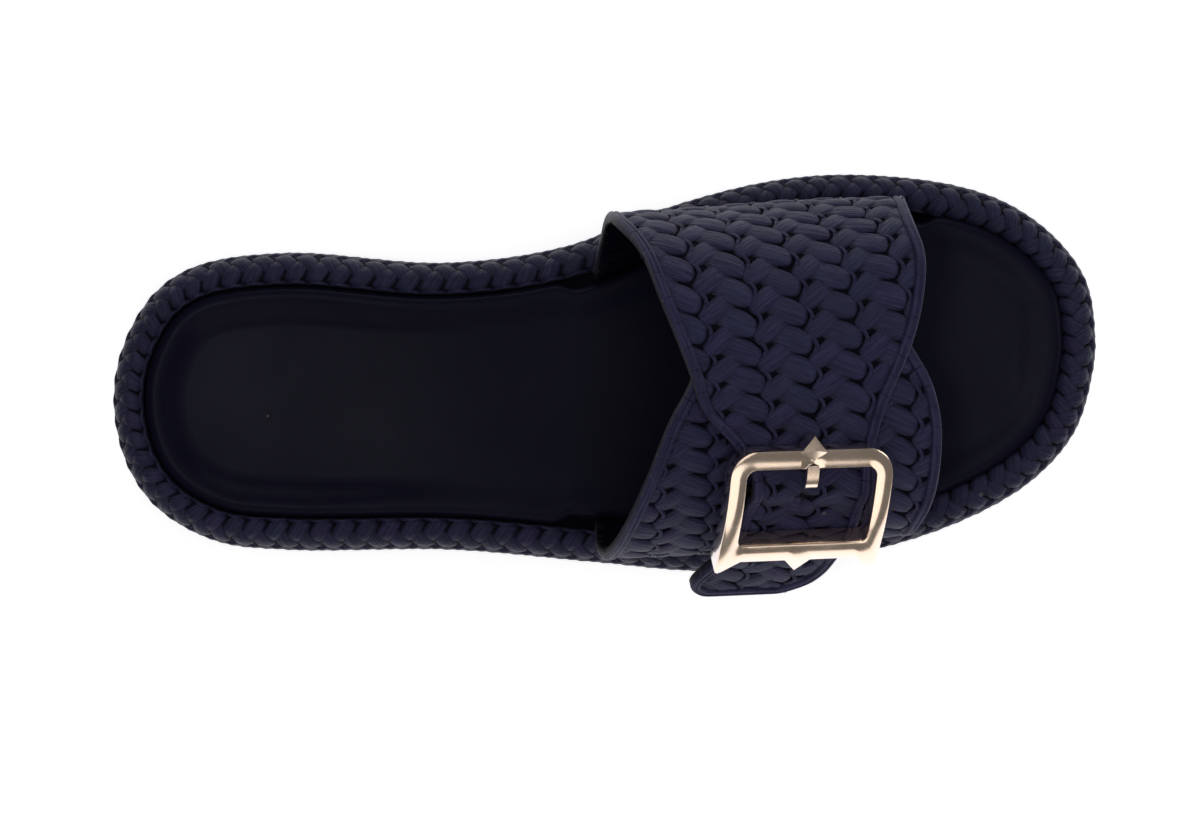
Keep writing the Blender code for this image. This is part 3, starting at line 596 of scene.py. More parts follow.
def metalMaterial(name, rough, *colours):
    # Plated metal with a fine grain: colours of its face, of its spots and of what is seen edge on; the edge-on
    # colour is a painted reflection, mixed in by how squarely a face is seen
    face, faceSpot, edgeOnPaintedReflection = (colour + (1.0,) for colour in colours)
    material, tree, shader, place = newMaterial(name)
    skin = useGroup(tree, rubberSkin, {"Vector": place, "Patch": 210.0, "Grain": 3200.0})
    # Painted reflection: faces seen edge on take the edge-on colour
    edge = addNode(tree, "ShaderNodeLayerWeight", {"Blend": 0.42}).outputs["Facing"]
    turned = spread(tree, edge, 0.25, 0.75)
    plating = mixColour(tree, skin["Patches"], face, faceSpot)
    fill(tree, shader, {
        "Base Color": mixColour(tree, turned, plating, edgeOnPaintedReflection),
        "Roughness": spread(tree, skin["Patches"], 0.0, 1.0, rough, rough * 1.6),
        "Normal": bumped(tree, skin["Grain"], 0.12, 0.00004),
        "Metallic": 1.0,
    })
    return material


strandRubber = rubberMaterial("strandRubber", 22.0, 0.00075)
borderRubber = rubberMaterial("borderRubber", 13.0, 0.00026, seam=1.9)
braidRubber = rubberMaterial("braidRubber", 18.0, 0.00055, dim=0.74)
smoothRubberPaintedShade = plainRubberMaterial()
footbed = footbedMaterial()
# The last gold colour, a pale pinkish silver, is a painted reflection for faces seen edge on
paleGold = metalMaterial("paleGold", 0.11, (0.95, 0.73, 0.56), (0.98, 0.78, 0.62), (0.92, 0.86, 0.88))
# The bar's near-black steel is painted shade, and its edge-on colour a painted reflection
barSteelPaintedShade = metalMaterial("barSteelPaintedShade", 0.30, (0.05, 0.05, 0.05), (0.07, 0.065, 0.06), (0.08, 0.08, 0.08))


print("stage: geometry node trees")


def finishTree(tree, geometry, finish, result):
    real = addNode(tree, "GeometryNodeRealizeInstances", {"Geometry": geometry})
    done = addNode(tree, "GeometryNodeSetMaterial", {"Geometry": real.outputs[0], "Material": finish})
    link(tree, result, done.outputs[0])


def patternTree():
    # Copies one cell over a flat grid, each a little different
    tree, given, result = newGroup(
        "GeometryNodeTree", "cellsOnGrid",
        (
            ("Cell", "Object", None), ("Columns", "Int", 8), ("Rows", "Int", 8),
            ("Column pitch", "Float", 0.0132), ("Row pitch", "Float", 0.0068),
            ("First column", "Float", 0.0), ("First row", "Float", 0.0),
            ("Turn", "Float", 0.02), ("Size", "Float", 0.03), ("Seed", "Int", 3),
            ("Finish", "Material", None),
        ),
        (("Geometry", "Geometry"),),
    )
    wide = mathNode(tree, "MULTIPLY", mathNode(tree, "SUBTRACT", given["Columns"], 1.0), given["Column pitch"])
    tall = mathNode(tree, "MULTIPLY", mathNode(tree, "SUBTRACT", given["Rows"], 1.0), given["Row pitch"])
    grid = addNode(tree, "GeometryNodeMeshGrid", {
        "Size X": wide, "Size Y": tall, "Vertices X": given["Columns"], "Vertices Y": given["Rows"]})
    offset = addNode(tree, "ShaderNodeCombineXYZ", {
        0: mathNode(tree, "ADD", given["First column"], mathNode(tree, "MULTIPLY", wide, 0.5)),
        1: mathNode(tree, "ADD", given["First row"], mathNode(tree, "MULTIPLY", tall, 0.5)),
    })
    placed = addNode(tree, "GeometryNodeSetPosition", {
        "Geometry": grid.outputs[0], "Offset": offset.outputs[0]})
    cell = addNode(tree, "GeometryNodeObjectInfo", {"Object": given["Cell"]})
    turnLow = addNode(tree, "ShaderNodeCombineXYZ", {2: mathNode(tree, "MULTIPLY", given["Turn"], -1.0)})
    turnHigh = addNode(tree, "ShaderNodeCombineXYZ", {2: given["Turn"]})
    turn = addNode(tree, "FunctionNodeRandomValue", {"Min": turnLow.outputs[0], "Max": turnHigh.outputs[0],
                                                     "Seed": given["Seed"]}, data_type="FLOAT_VECTOR")
    size = addNode(tree, "FunctionNodeRandomValue", {
        2: mathNode(tree, "SUBTRACT", 1.0, given["Size"]), 3: mathNode(tree, "ADD", 1.0, given["Size"]),
        "Seed": given["Seed"]}, data_type="FLOAT")
    copies = addNode(tree, "GeometryNodeInstanceOnPoints", {
        "Points": placed.outputs[0], "Instance": cell.outputs["Geometry"], "Rotation": turn.outputs["Value"],
        "Scale": size.outputs[1]})
    shade = addNode(tree, "FunctionNodeRandomValue", {2: 0.0, 3: 1.0, "Seed": given["Seed"]}, data_type="FLOAT")
    marked = addNode(tree, "GeometryNodeStoreNamedAttribute", {
        "Geometry": copies.outputs[0], "Name": "cellTone", "Value": shade.outputs[1]},
        data_type="FLOAT", domain="INSTANCE")
    finishTree(tree, marked.outputs[0], given["Finish"], result["Geometry"])
    return tree


def bandTree():
    # Sweeps a profile along the piece's own edges
    tree, given, result = newGroup(
        "GeometryNodeTree", "bandAlongPath",
        (("Geometry", "Geometry", None), ("Profile", "Object", None),
         ("Finish", "Material", None)),
        (("Geometry", "Geometry"),),
    )
    path = addNode(tree, "GeometryNodeMeshToCurve", {"Mesh": given["Geometry"]})
    upright = addNode(tree, "GeometryNodeSetCurveNormal", {"Curve": path.outputs[0]}, mode="Z_UP")
    profile = addNode(tree, "GeometryNodeObjectInfo", {"Object": given["Profile"]})
    swept = addNode(tree, "GeometryNodeCurveToMesh", {
        "Curve": upright.outputs[0], "Profile Curve": profile.outputs["Geometry"], "Fill Caps": True})
    finishTree(tree, swept.outputs[0], given["Finish"], result["Geometry"])
    return tree


cellsOnGrid = patternTree()
bandAlongPath = bandTree()


def newObject(name, verts, faces, material=None):
    mesh = bpy.data.meshes.new(name)
    mesh.from_pydata([tuple(map(float, vert)) for vert in verts], [], [tuple(map(int, face)) for face in faces])
    if material:
        mesh.materials.append(material)
    obj = bpy.data.objects.new(name, mesh)
    bpy.context.scene.collection.objects.link(obj)
    return obj


def grow(obj, tree, values):
    # Gives the object its tree, sets the inputs by identifier and keeps the result as a plain mesh
    modifier = obj.modifiers.new(tree.name, "NODES")
    modifier.node_group = tree
    sockets = {item.name: item.identifier for item in tree.interface.items_tree if item.in_out == "INPUT"}
    for key, value in values.items():
        modifier[sockets[key]] = value
    keepResult(obj)
    return obj


def growGrid(name, cell, counts, pitch, first, seed, finish, turn=0.0, size=0.0):
    # Copies of the cell: counts, pitch and first place are given for the columns and for the rows
    return grow(newObject(name, [], []), cellsOnGrid, {
        "Cell": cell, "Columns": counts[0], "Rows": counts[1], "Column pitch": pitch[0], "Row pitch": pitch[1],
        "First column": first[0], "First row": first[1], "Turn": turn, "Size": size, "Seed": seed,
        "Finish": finish})


def keepResult(obj):
    graph = bpy.context.evaluated_depsgraph_get()
    mesh = bpy.data.meshes.new_from_object(obj.evaluated_get(graph))
    obj.modifiers.clear()
    obj.data = mesh


def readVerts(obj):
    flat = np.empty(len(obj.data.vertices) * 3)
    obj.data.vertices.foreach_get("co", flat)
    return flat.reshape(-1, 3)


def writeVerts(obj, verts):
    obj.data.vertices.foreach_set("co", np.asarray(verts, float).ravel())
    obj.data.update()


def setPointValues(obj, name, values):
    layer = obj.data.attributes.get(name) or obj.data.attributes.new(name, "FLOAT", "POINT")
    layer.data.foreach_set("value", np.asarray(values, float))


def readPointValues(obj, name):
    values = np.empty(len(obj.data.vertices))
    obj.data.attributes[name].data.foreach_get("value", values)
    return values


def mixTones(obj):
    # Each strand's own tone moves on by the tone of its cell
    total = readPointValues(obj, "cellTone") + readPointValues(obj, "tone")
    setPointValues(obj, "tone", np.mod(total, 1.0))
    obj.data.attributes.remove(obj.data.attributes["cellTone"])


def dropVerts(obj, drop):
    bm = bmesh.new()
    bm.from_mesh(obj.data)
    bm.verts.ensure_lookup_table()
    bmesh.ops.delete(bm, geom=[bm.verts[i] for i in np.nonzero(drop)[0]], context="VERTS")
    bm.to_mesh(obj.data)
    bm.free()


def setStrandMap(obj, along, across):
    # UV map "strand" from a value per vertex, in units of 10 mm
    mesh = obj.data
    layer = mesh.uv_layers.get("strand") or mesh.uv_layers.new(name="strand")
    corner = np.empty(len(mesh.loops), int)
    mesh.loops.foreach_get("vertex_index", corner)
    pairs = np.stack([np.asarray(along)[corner], np.asarray(across)[corner]], axis=1) * 100.0
    layer.data.foreach_set("uv", pairs.ravel())


def mendStrands(bm):
    # Takes out doubled faces and faces with no area, and closes what that opens
    for _ in range(3):
        sides = {}
        for face in bm.faces:
            sides.setdefault(frozenset(face.verts), []).append(face)
        flaps = {face for faces in sides.values() if len(faces) > 1 for face in faces}
        flaps |= {face for face in bm.faces if face.calc_area() < 2e-12}
        bmesh.ops.delete(bm, geom=list(flaps), context="FACES")
        bmesh.ops.delete(bm, geom=[edge for edge in bm.edges if not edge.link_faces], context="EDGES")
        bmesh.ops.holes_fill(bm, edges=[edge for edge in bm.edges if edge.is_boundary], sides=0)


def tidyMesh(obj, merge=1e-6, sharp=None, weld=True):
    # Merges doubles, drops edges with no length and turns faces outward; without weld the strands of a weave
    # aren't merged with each other but mended
    bm = bmesh.new()
    bm.from_mesh(obj.data)
    if weld:
        bmesh.ops.remove_doubles(bm, verts=bm.verts, dist=merge)
    bmesh.ops.dissolve_degenerate(bm, edges=bm.edges, dist=merge)
    if not weld:
        mendStrands(bm)
    bmesh.ops.delete(bm, geom=[vert for vert in bm.verts if not vert.link_faces], context="VERTS")
    bmesh.ops.recalc_face_normals(bm, faces=bm.faces)
    bm.to_mesh(obj.data)
    bm.free()
    while len(obj.data.materials) > 1 and not obj.data.materials[0]:
        obj.data.materials.pop(index=0)
    obj.data.shade_smooth()
    if sharp:
        obj.data.set_sharp_from_angle(angle=math.radians(sharp))


# Section of a strand: place across it and share of its height.
strandSection = ((-1.0, 0.0), (-0.93, 0.55), (-0.66, 0.90), (0.0, 1.0), (0.66, 0.90), (0.93, 0.55), (1.0, 0.0))


def sideFaces(rings, count):
    # Faces between neighbouring rings of count vertices each
    return [(i * count + k, i * count + (k + 1) % count, (i + 1) * count + (k + 1) % count, (i + 1) * count + k)
            for i in range(rings - 1) for k in range(count)]


def tubeFaces(rings, count):
    ends = [tuple(range(count))[::-1], tuple((rings - 1) * count + k for k in range(count))]
    return sideFaces(rings, count) + ends


def strandMesh(rows, base, steps):
    # Verts, faces, along and across of one closed strand; rows: share, x, y, half width and top in mm
    at = np.linspace(0.0, 1.0, steps)
    x, y, half, top = (readRows(rows, column, at) * mm for column in range(1, 5))
    direction = unit(np.stack([np.gradient(x), np.gradient(y)], axis=1))
    side = np.stack([-direction[:, 1], direction[:, 0]], axis=1)
    length = np.concatenate([[0.0], np.cumsum(np.hypot(np.diff(x), np.diff(y)))])
    verts, along, across = [], [], []
    for i in range(steps):
        for w, dome in strandSection:
            verts.append((x[i] + side[i, 0] * w * half[i], y[i] + side[i, 1] * w * half[i],
                          base + (top[i] - base) * dome))
            along.append(length[i])
            across.append(w * half[i])
    return verts, tubeFaces(steps, len(strandSection)), along, across


def tubeMesh(points, radius, sides):
    points = np.asarray(points, float)
    direction = unit(np.gradient(points, axis=0))
    sideways = unit(np.cross(direction, (0.0, 0.0, 1.0)))
    upward = np.cross(sideways, direction)
    verts, along, across = [], [], []
    length = np.concatenate([[0.0], np.cumsum(np.linalg.norm(np.diff(points, axis=0), axis=1))])
    for i, point in enumerate(points):
        for k in range(sides):
            turn = 2 * math.pi * k / sides
            verts.append(point + radius * (math.cos(turn) * sideways[i] + math.sin(turn) * upward[i]))
            along.append(length[i])
            across.append(radius * abs(turn - math.pi))
    return verts, tubeFaces(len(points), sides), along, across


def joinStrands(name, strands):
    # One object out of several strands, with their UV and a tone for each strand
    verts, faces, along, across, tone = [], [], [], [], []
    for number, (v, f, a, c) in enumerate(strands):
        faces += [tuple(index + len(verts) for index in face) for face in f]
        verts += list(v)
        along += list(a)
        across += list(c)
        tone += [math.fmod(0.31 + number * 0.618, 1.0)] * len(v)
    obj = newObject(name, verts, faces)
    setStrandMap(obj, along, across)
    setPointValues(obj, "tone", tone)
    return obj


print("stage: woven straps")
weave = {
    "columnPitch": 0.0132,
    "firstColumn": -0.01295,
    "columns": 10,
    "rowPitch": 0.0070,
    "rowAt": -0.0081,
    "tilt": 3.48,
    "tiltAt": 0.046,
    "turn": 0.025,
    "size": 0.02,
    "border": 0.0028,
    "tuck": 0.0006,
    "plateTop": -0.0002,
    "columnShift": (0.0, 0.0, 0.0, 0.0, -0.0011, -0.0006, -0.0006, -0.0006, -0.0006, -0.0006),
    "cordWidth": 0.00062,
    "strandBase": -0.0005,
    "dropMargin": 0.0004,
    "sinkLength": 0.0016,
    "edgeHeight": 0.0002,
    "lowTop": 0.00005,
    "wallInset": 0.0005,
    "hole": (-0.0016, 0.0102, 0.0019, 0.0020),
    # dimple and dimpleFloor sink the strands over the hole, where the painted crevice shade darkens them
    "dimple": 1.1,
    "dimpleFloor": -0.00042,
}
# Strand rows: share, x, y, half width and top in mm; the cell's origin is the left strand's lower end.
leftStrand = (
    (0.00, -0.7, 0.35, 0.75, 0.10), (0.08, -0.2, 0.15, 1.65, 0.50), (0.25, 1.5, -0.70, 2.35, 0.86),
    (0.50, 3.9, -1.95, 2.65, 1.00), (0.75, 6.3, -3.15, 2.80, 0.74), (0.92, 8.2, -4.05, 2.45, 0.26),
    (1.00, 9.4, -4.60, 1.60, 0.00),
)
rightStrand = (
    (0.00, 3.0, -1.85, 1.50, 0.00), (0.15, 4.9, -0.85, 2.65, 0.30), (0.38, 7.6, 0.45, 3.20, 0.92),
    (0.62, 10.3, 1.75, 3.15, 1.13), (0.82, 12.3, 2.70, 2.70, 0.98), (0.94, 13.6, 3.25, 1.95, 0.60),
    (1.00, 14.2, 3.50, 0.80, 0.08),
)


def weaveCord():
    pitch = weave["rowPitch"]
    y = np.linspace(-0.5, 0.5, 9) * pitch * 1.04
    swing = np.cos(2 * math.pi * (y - 2.75 * mm) / pitch)
    points = np.stack([1.00 * mm + 0.82 * mm * swing, y, 0.16 * mm + 0.40 * mm * swing], axis=1)
    return tubeMesh(points, weave["cordWidth"], 5)


def weavePlate():
    # One tile of the wall behind the strands, with its gaps left out
    wide, tall = weave["columnPitch"], weave["rowPitch"]
    low = (1.6 * mm, 2.0 * mm)
    gaps = (
        ((2.5, 2.25), (5.4, 2.3), (4.0, 3.4), (2.7, 4.6)),
        ((8.6, 6.0), (10.6, 6.2), (12.6, 6.7), (13.9, 8.1), (13.6, 8.8), (12.4, 8.4), (10.6, 7.4)),
    )
    corners = [low, (low[0] + wide, low[1]), (low[0] + wide, low[1] + tall), (low[0], low[1] + tall)]
    points = []
    for start, end, pieces in zip(corners, corners[1:] + corners[:1], (8, 4, 8, 4)):
        for k in range(pieces):
            share = k / pieces
            points.append((start[0] + (end[0] - start[0]) * share, start[1] + (end[1] - start[1]) * share))
    edges = [(k, (k + 1) % len(points)) for k in range(len(points))]
    loops = [[(x * mm, y * mm) for x, y in gap] for gap in gaps]
    for loop in loops:
        first = len(points)
        points += loop
        edges += [(first + k, first + (k + 1) % len(loop)) for k in range(len(loop))]
    points += [(low[0] + wide * i / 8, low[1] + tall * j / 4) for i in range(1, 8) for j in range(1, 4)]
    verts, _, faces, *_ = delaunay_2d_cdt([Vector(point) for point in points], edges, [], 0, 1e-7)
    kept = []
    for face in faces:
        centre = sum((verts[index] for index in face), Vector((0.0, 0.0))) / len(face)
        if not any(insideLoop(centre, loop) for loop in loops):
            kept.append(face)
    return newObject("weavePlate", [(vert.x, vert.y, 0.0) for vert in verts], kept)


def insideLoop(point, loop):
    inside = False
    for (x0, y0), (x1, y1) in zip(loop, loop[1:] + loop[:1]):
        if (y0 > point[1]) != (y1 > point[1]) and point[0] < (x1 - x0) * (point[1] - y0) / (y1 - y0) + x0:
            inside = not inside
    return inside


def rowToGirth(x, row):
    # Rows stand square to the leaning columns, so they fan out along the foot
    ahead = weave["tilt"] * (x - weave["tiltAt"])
    return (row - strap["leanAt"] * ahead) / (1.0 - ahead)


def shiftRows(flat):
    # Each column of the weave starts a little higher or lower than the one before it
    lines = weave["firstColumn"] + weave["columnPitch"] * np.arange(weave["columns"])
    shifts = np.array(weave["columnShift"])
    knots = np.stack([lines - 0.0003, lines + 0.0017], axis=1).ravel()
    values = np.stack([np.concatenate([shifts[:1], shifts[:-1]]), shifts], axis=1).ravel()
    return flat[:, 1] + np.interp(flat[:, 0], knots, values)


def strapEdges(rows, legSide):
    # The strap's outline in flat places, from one corner of its leg round to the other
    shares = np.linspace(rows[0][0], rows[-1][0], 120)
    v = np.where(shares < 0, shares * girthMedial, shares * girthLateral)
    rear, front = (readRows(rows, column, shares) * strap["length"] + leanShift(v) for column in (1, 2))
    behind, ahead = np.stack([rear, v], axis=1), np.stack([front, v], axis=1)[::-1]
    if legSide == medialSide:
        legV = v[0] - legDepth
        return np.concatenate([[(rear[0], legV)], behind, ahead, [(front[0], legV)]])
    legV = v[-1] + legDepth
    return np.concatenate([[(front[-1], legV)], ahead, behind, [(rear[-1], legV)]])


def evenPath(path, step):
    lengths = np.concatenate([[0.0], np.cumsum(np.linalg.norm(np.diff(path, axis=0), axis=1))])
    at = np.linspace(0.0, lengths[-1], int(lengths[-1] / step) + 1)
    even = np.stack([np.interp(at, lengths, path[:, k]) for k in (0, 1)], axis=1)
    for _ in range(3):
        even[1:-1] = (even[:-2] + 2 * even[1:-1] + even[2:]) / 4
    return even


def fromEdge(points, path, closed=True):
    # Distance inside the path, nearest place on it, the inward direction there and the length along it
    starts = path if closed else path[:-1]
    ends = np.roll(path, -1, axis=0) if closed else path[1:]
    seg = ends - starts
    size = np.maximum(np.linalg.norm(seg, axis=1), 1e-9)
    lengths = np.concatenate([[0.0], np.cumsum(size)])[:-1]
    best = np.full(len(points), 1e9)
    near = np.zeros((len(points), 2))
    inward = np.zeros((len(points), 2))
    along = np.zeros(len(points))
    for k in range(len(seg)):
        u = np.clip(((points - starts[k]) @ seg[k]) / size[k] ** 2, 0.0, 1.0)
        foot = starts[k] + u[:, None] * seg[k]
        gap = np.linalg.norm(points - foot, axis=1)
        closer = gap < best
        best = np.where(closer, gap, best)
        near[closer] = foot[closer]
        inward[closer] = np.array([-seg[k][1], seg[k][0]]) / size[k]
        along[closer] = (lengths[k] + u * size[k])[closer]
    side = np.sign(np.einsum("ij,ij->i", points - near, inward))
    return best * np.where(side == 0, 1.0, side), near, inward, along


def orientInward(path):
    area = np.sum(path[:, 0] * np.roll(path[:, 1], -1) - np.roll(path[:, 0], -1) * path[:, 1])
    return path if area > 0 else path[::-1].copy()


def heightShare(h):
    return smoothStep((h + 0.0002) / 0.0011)


weaveCell = joinStrands("weaveCell", [
    strandMesh(leftStrand, weave["strandBase"], 10),
    strandMesh(rightStrand, weave["strandBase"], 11),
    weaveCord(),
])
plateCell = weavePlate()


def holeReach(flat):
    # Middle of the tongue's spare hole, and how far the places lie from it, 1 at its edge
    hole = weave["hole"]
    centre = np.array([buckle["along"] + hole[0], touchV - buckle["touchAt"] + hole[1]])
    return centre, (flat[:, :2] - centre) / np.array(hole[2:])


def openHole(flat):
    # Pushes what lies in the hole out to its edge
    centre, offset = holeReach(flat)
    reach = np.linalg.norm(offset, axis=1)
    inside = reach < 1.0
    outward = offset[inside] / np.maximum(reach[inside], 1e-6)[:, None]
    flat[inside, :2] = centre + outward * np.array(weave["hole"][2:])
    return inside


def growOnStrap(name, cell, seed, finish, rows, turn=0.0, size=0.0):
    first = (weave["firstColumn"], weave["rowAt"] + rows[0] * weave["rowPitch"])
    pitch = (weave["columnPitch"], weave["rowPitch"])
    return growGrid(name, cell, (weave["columns"], rows[1]), pitch, first, seed, finish, turn, size)


def makeWeave(name, path, point, rows, seed):
    # The strands, laid on the strap and tucked under its border
    obj = growOnStrap(name, weaveCell, seed, strandRubber, rows, weave["turn"], weave["size"])
    flat = readVerts(obj)
    cells = flat.reshape(weave["columns"], -1, 3)
    cells[:, :, 1] += np.array(weave["columnShift"])[:, None]
    flat[:, 1] = rowToGirth(flat[:, 0], flat[:, 1])
    # Strands over the tongue's spare hole sink low, so the crevice colour paints the hole dark: painted shade
    if point is medialPoint:
        sunk = np.linalg.norm(holeReach(flat)[1], axis=1) < weave["dimple"]
        flat[sunk, 2] = np.minimum(flat[sunk, 2], weave["dimpleFloor"])
    # Strand faces that lie low get the darker smooth rubber: painted shade in the gaps of the weave
    obj.data.materials.append(smoothRubberPaintedShade)
    for face in obj.data.polygons:
        if max(flat[i, 2] for i in face.vertices) < weave["lowTop"]:
            face.material_index = len(obj.data.materials) - 1
    depth, near, inward, _ = fromEdge(flat[:, :2], path)
    sizes = strandSizes(weaveCell)
    drop = np.zeros(len(flat), bool)
    start = 0
    while start < len(flat):
        for count in sizes:
            part = slice(start, start + count)
            if depth[part].max() < weave["border"] + weave["dropMargin"]:
                drop[part] = True
            start += count
    limit = weave["border"] - weave["tuck"]
    outside = depth < limit
    flat[outside, :2] = near[outside] + inward[outside] * limit
    sink = smoothStep((depth - limit) / weave["sinkLength"])
    sunken = flat[:, 2] * sink + weave["edgeHeight"] * (1 - sink)
    flat[:, 2] = np.where(flat[:, 2] > -0.0004, sunken, flat[:, 2])
    mixTones(obj)
    # The rise drives the painted crevice shade of the strand rubber
    setPointValues(obj, "rise", heightShare(flat[:, 2]))
    writeVerts(obj, point(*flat.T))
    dropVerts(obj, drop)
    tidyMesh(obj, 2e-6, weld=False)
    return obj


def strandSizes(cell):
    # Number of vertices of each separate strand of the cell
    bm = bmesh.new()
    bm.from_mesh(cell.data)
    sizes = []
    seen = set()
    for vert in bm.verts:
        if vert.index in seen:
            continue
        island, queue = set(), [vert]
        while queue:
            one = queue.pop()
            if one.index in island:
                continue
            island.add(one.index)
            queue += [edge.other_vert(one) for edge in one.link_edges]
        seen |= island
        sizes.append(len(island))
    bm.free()
    return sizes


def makeWall(name, path, point, rows):
    # The wall behind the strands, with the see-through gaps of the weave
    obj = growOnStrap(name, plateCell, 1, smoothRubberPaintedShade, rows)
    flat = readVerts(obj)
    flat[:, 1] = shiftRows(flat)
    flat[:, 1] = rowToGirth(flat[:, 0], flat[:, 1])
    inHole = openHole(flat) if point is medialPoint else np.zeros(len(flat), bool)
    depth, near, inward, _ = fromEdge(flat[:, :2], path)
    limit = weave["wallInset"]
    bm = bmesh.new()
    bm.from_mesh(obj.data)
    bm.verts.ensure_lookup_table()
    outside = depth < limit
    faces = [face for face in bm.faces if all(outside[vert.index] for vert in face.verts)
             or all(inHole[vert.index] for vert in face.verts)]
    flat[outside, :2] = near[outside] + inward[outside] * limit
    places = point(flat[:, 0], flat[:, 1], np.full(len(flat), weave["plateTop"]))
    for vert, place in zip(bm.verts, places):
        vert.co = place
    bmesh.ops.delete(bm, geom=faces, context="FACES")
    bm.to_mesh(obj.data)
    bm.free()
    obj.data.attributes.remove(obj.data.attributes["cellTone"])
    tidyMesh(obj, 2e-5)
    turnOutward(obj, point, path)
    solid = obj.modifiers.new("wall", "SOLIDIFY")
    solid.thickness = strap["wall"] + weave["plateTop"]
    solid.offset = -1.0
    keepResult(obj)
    obj.data.shade_smooth()
    obj.data.set_sharp_from_angle(angle=math.radians(50))
    return obj


def turnOutward(obj, point, path):
    # Faces of the open sheet look away from the foot
    t, v = path.mean(axis=0)
    place = point(np.array([t]), np.array([v]), np.array([0.0]))[0]
    lifted = point(np.array([t]), np.array([v]), np.array([0.001]))[0]
    centres = np.array([face.center for face in obj.data.polygons])
    nearest = int(np.argmin(np.linalg.norm(centres - place, axis=1)))
    if np.dot(obj.data.polygons[nearest].normal, lifted - place) < 0:
        obj.data.flip_normals()


# Border profile: share of the border's width inward from the edge, height in mm.
borderProfile = (
    (0.00, -1.7), (0.00, 0.15), (0.04, 0.62), (0.13, 0.98), (0.27, 1.10), (0.38, 1.00), (0.44, 0.80),
    (0.50, 0.78), (0.56, 0.98), (0.68, 1.08), (0.84, 0.96), (0.95, 0.55), (1.00, 0.05), (1.00, -1.0),
    (0.70, -1.9), (0.08, -2.0),
)


def makeBorder(name, path, point):
    # The moulded rim of a strap: two ridges with a groove between them
    profile = bpy.data.curves.new(name + "Profile", "CURVE")
    spline = profile.splines.new("POLY")
    spline.points.add(len(borderProfile) - 1)
    for node, (x, z) in zip(spline.points, borderProfile):
        node.co = (-x * weave["border"], -z * mm, 0.0, 1.0)
    spline.use_cyclic_u = True
    source = bpy.data.objects.new(name + "Profile", profile)
    bpy.context.scene.collection.objects.link(source)
    obj = newObject(name, [(x, y, 0.0) for x, y in path], [])
    obj.data.edges.add(len(path) - 1)
    pairs = np.stack([np.arange(len(path) - 1), np.arange(1, len(path))], axis=1)
    obj.data.edges.foreach_set("vertices", pairs.ravel())
    grow(obj, bandAlongPath, {"Profile": source, "Finish": borderRubber})
    bpy.data.objects.remove(source)
    flat = readVerts(obj)
    depth, _, _, along = fromEdge(flat[:, :2], path, closed=False)
    if np.median(depth) < 0:
        raise ValueError(name + " lies outside its path")
    setStrandMap(obj, along, depth + flat[:, 2] * 0.5)
    setPointValues(obj, "tone", np.full(len(flat), 0.45))
    # The rise drives the painted shade in the border's groove and on its low sides
    setPointValues(obj, "rise", smoothStep((flat[:, 2] + 0.0004) / 0.0012))
    writeVerts(obj, point(*flat.T))
    tidyMesh(obj, 1e-6)
    return obj


medialPath = orientInward(evenPath(strapEdges(medialEdges, medialSide), 0.0012))
lateralPath = orientInward(evenPath(strapEdges(lateralEdges, lateralSide), 0.0012))
strapPieces = {}
for node, path, point, rows, seed in (
    ("strap_medial", medialPath, medialPoint, (-13, 27), 5),
    ("strap_lateral", lateralPath, lateralPoint, (-3, 20), 11),
):
    word = node.split("_")[1]
    strapPieces[node] = (
        makeWeave(word + "Weave", path, point, rows, seed),
        makeWall(word + "Wall", path, point, rows),
        makeBorder(word + "Border", path, point),
    )
    print("made", word, "strap:", [len(piece.data.polygons) for piece in strapPieces[node]])
for obj in (weaveCell, plateCell):
    bpy.data.objects.remove(obj)
for node, pieces in strapPieces.items():
    for piece in pieces:
        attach(piece, "root")
        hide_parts(node)


print("stage: sole and insole")
sole = {
    "cells": 104,
    "modules": 3,
    "modulePitch": 0.0104,
    "strandBase": -0.0013,
    "bodyDrop": 0.0011,
    "dropStart": 0.0024,
    "dropEnd": 0.0018,
    "dropPast": 0.0022,
    "firstArc": -0.0010,
    "lastArc": 0.0315,
    "endSink": 0.0006,
    "toeShift": 0.0027,
    "shiftFade": 0.030,
    "toeFrom": 0.225,
    "toeTo": 0.400,
    "toeBlend": 0.030,
    "ringPoints": 360,
    "lugPitch": 0.0092,
    "lugRow": 0.0062,
    "lugHeight": 0.0012,
    "lugInset": 0.0100,
}
# Leaves of the braid in the same five columns; x runs along the rim, y over it.
braidLeft = (
    (0.00, 2.35, 0.10, 1.70, -0.75), (0.12, 1.80, 1.10, 2.35, 0.10), (0.34, 0.80, 2.80, 2.65, 0.52),
    (0.62, -0.65, 5.00, 2.60, 0.46), (0.86, -1.85, 7.00, 2.25, -0.12), (1.00, -2.50, 8.20, 1.70, -0.85),
)
braidRight = (
    (0.00, 0.20, 3.40, 1.70, -0.85), (0.14, 1.00, 4.80, 2.25, -0.12), (0.38, 2.25, 7.00, 2.60, 0.46),
    (0.66, 3.60, 9.10, 2.65, 0.56), (0.88, 4.70, 10.70, 2.25, 0.18), (1.00, 5.20, 11.50, 1.60, -0.55),
)


def braidCord():
    pitch = perimeter / sole["cells"]
    x = np.linspace(-0.5, 0.5, 8) * pitch * 1.03
    swing = np.cos(2 * math.pi * x / pitch)
    points = np.stack([x, 0.90 * mm + 0.42 * mm * swing, -0.28 * mm + 0.34 * mm * swing], axis=1)
    return tubeMesh(points, 0.60 * mm, 5)


def capStrips(first, count):
    # Faces across a closed ring whose first vertex lies at the heel tip
    faces = [(first, first + 1, first + count - 1)]
    for i in range(1, count // 2 - 1):
        faces.append((first + i, first + i + 1, first + count - i - 1, first + count - i))
    faces.append((first + count // 2 - 1, first + count // 2, first + count // 2 + 1))
    return faces


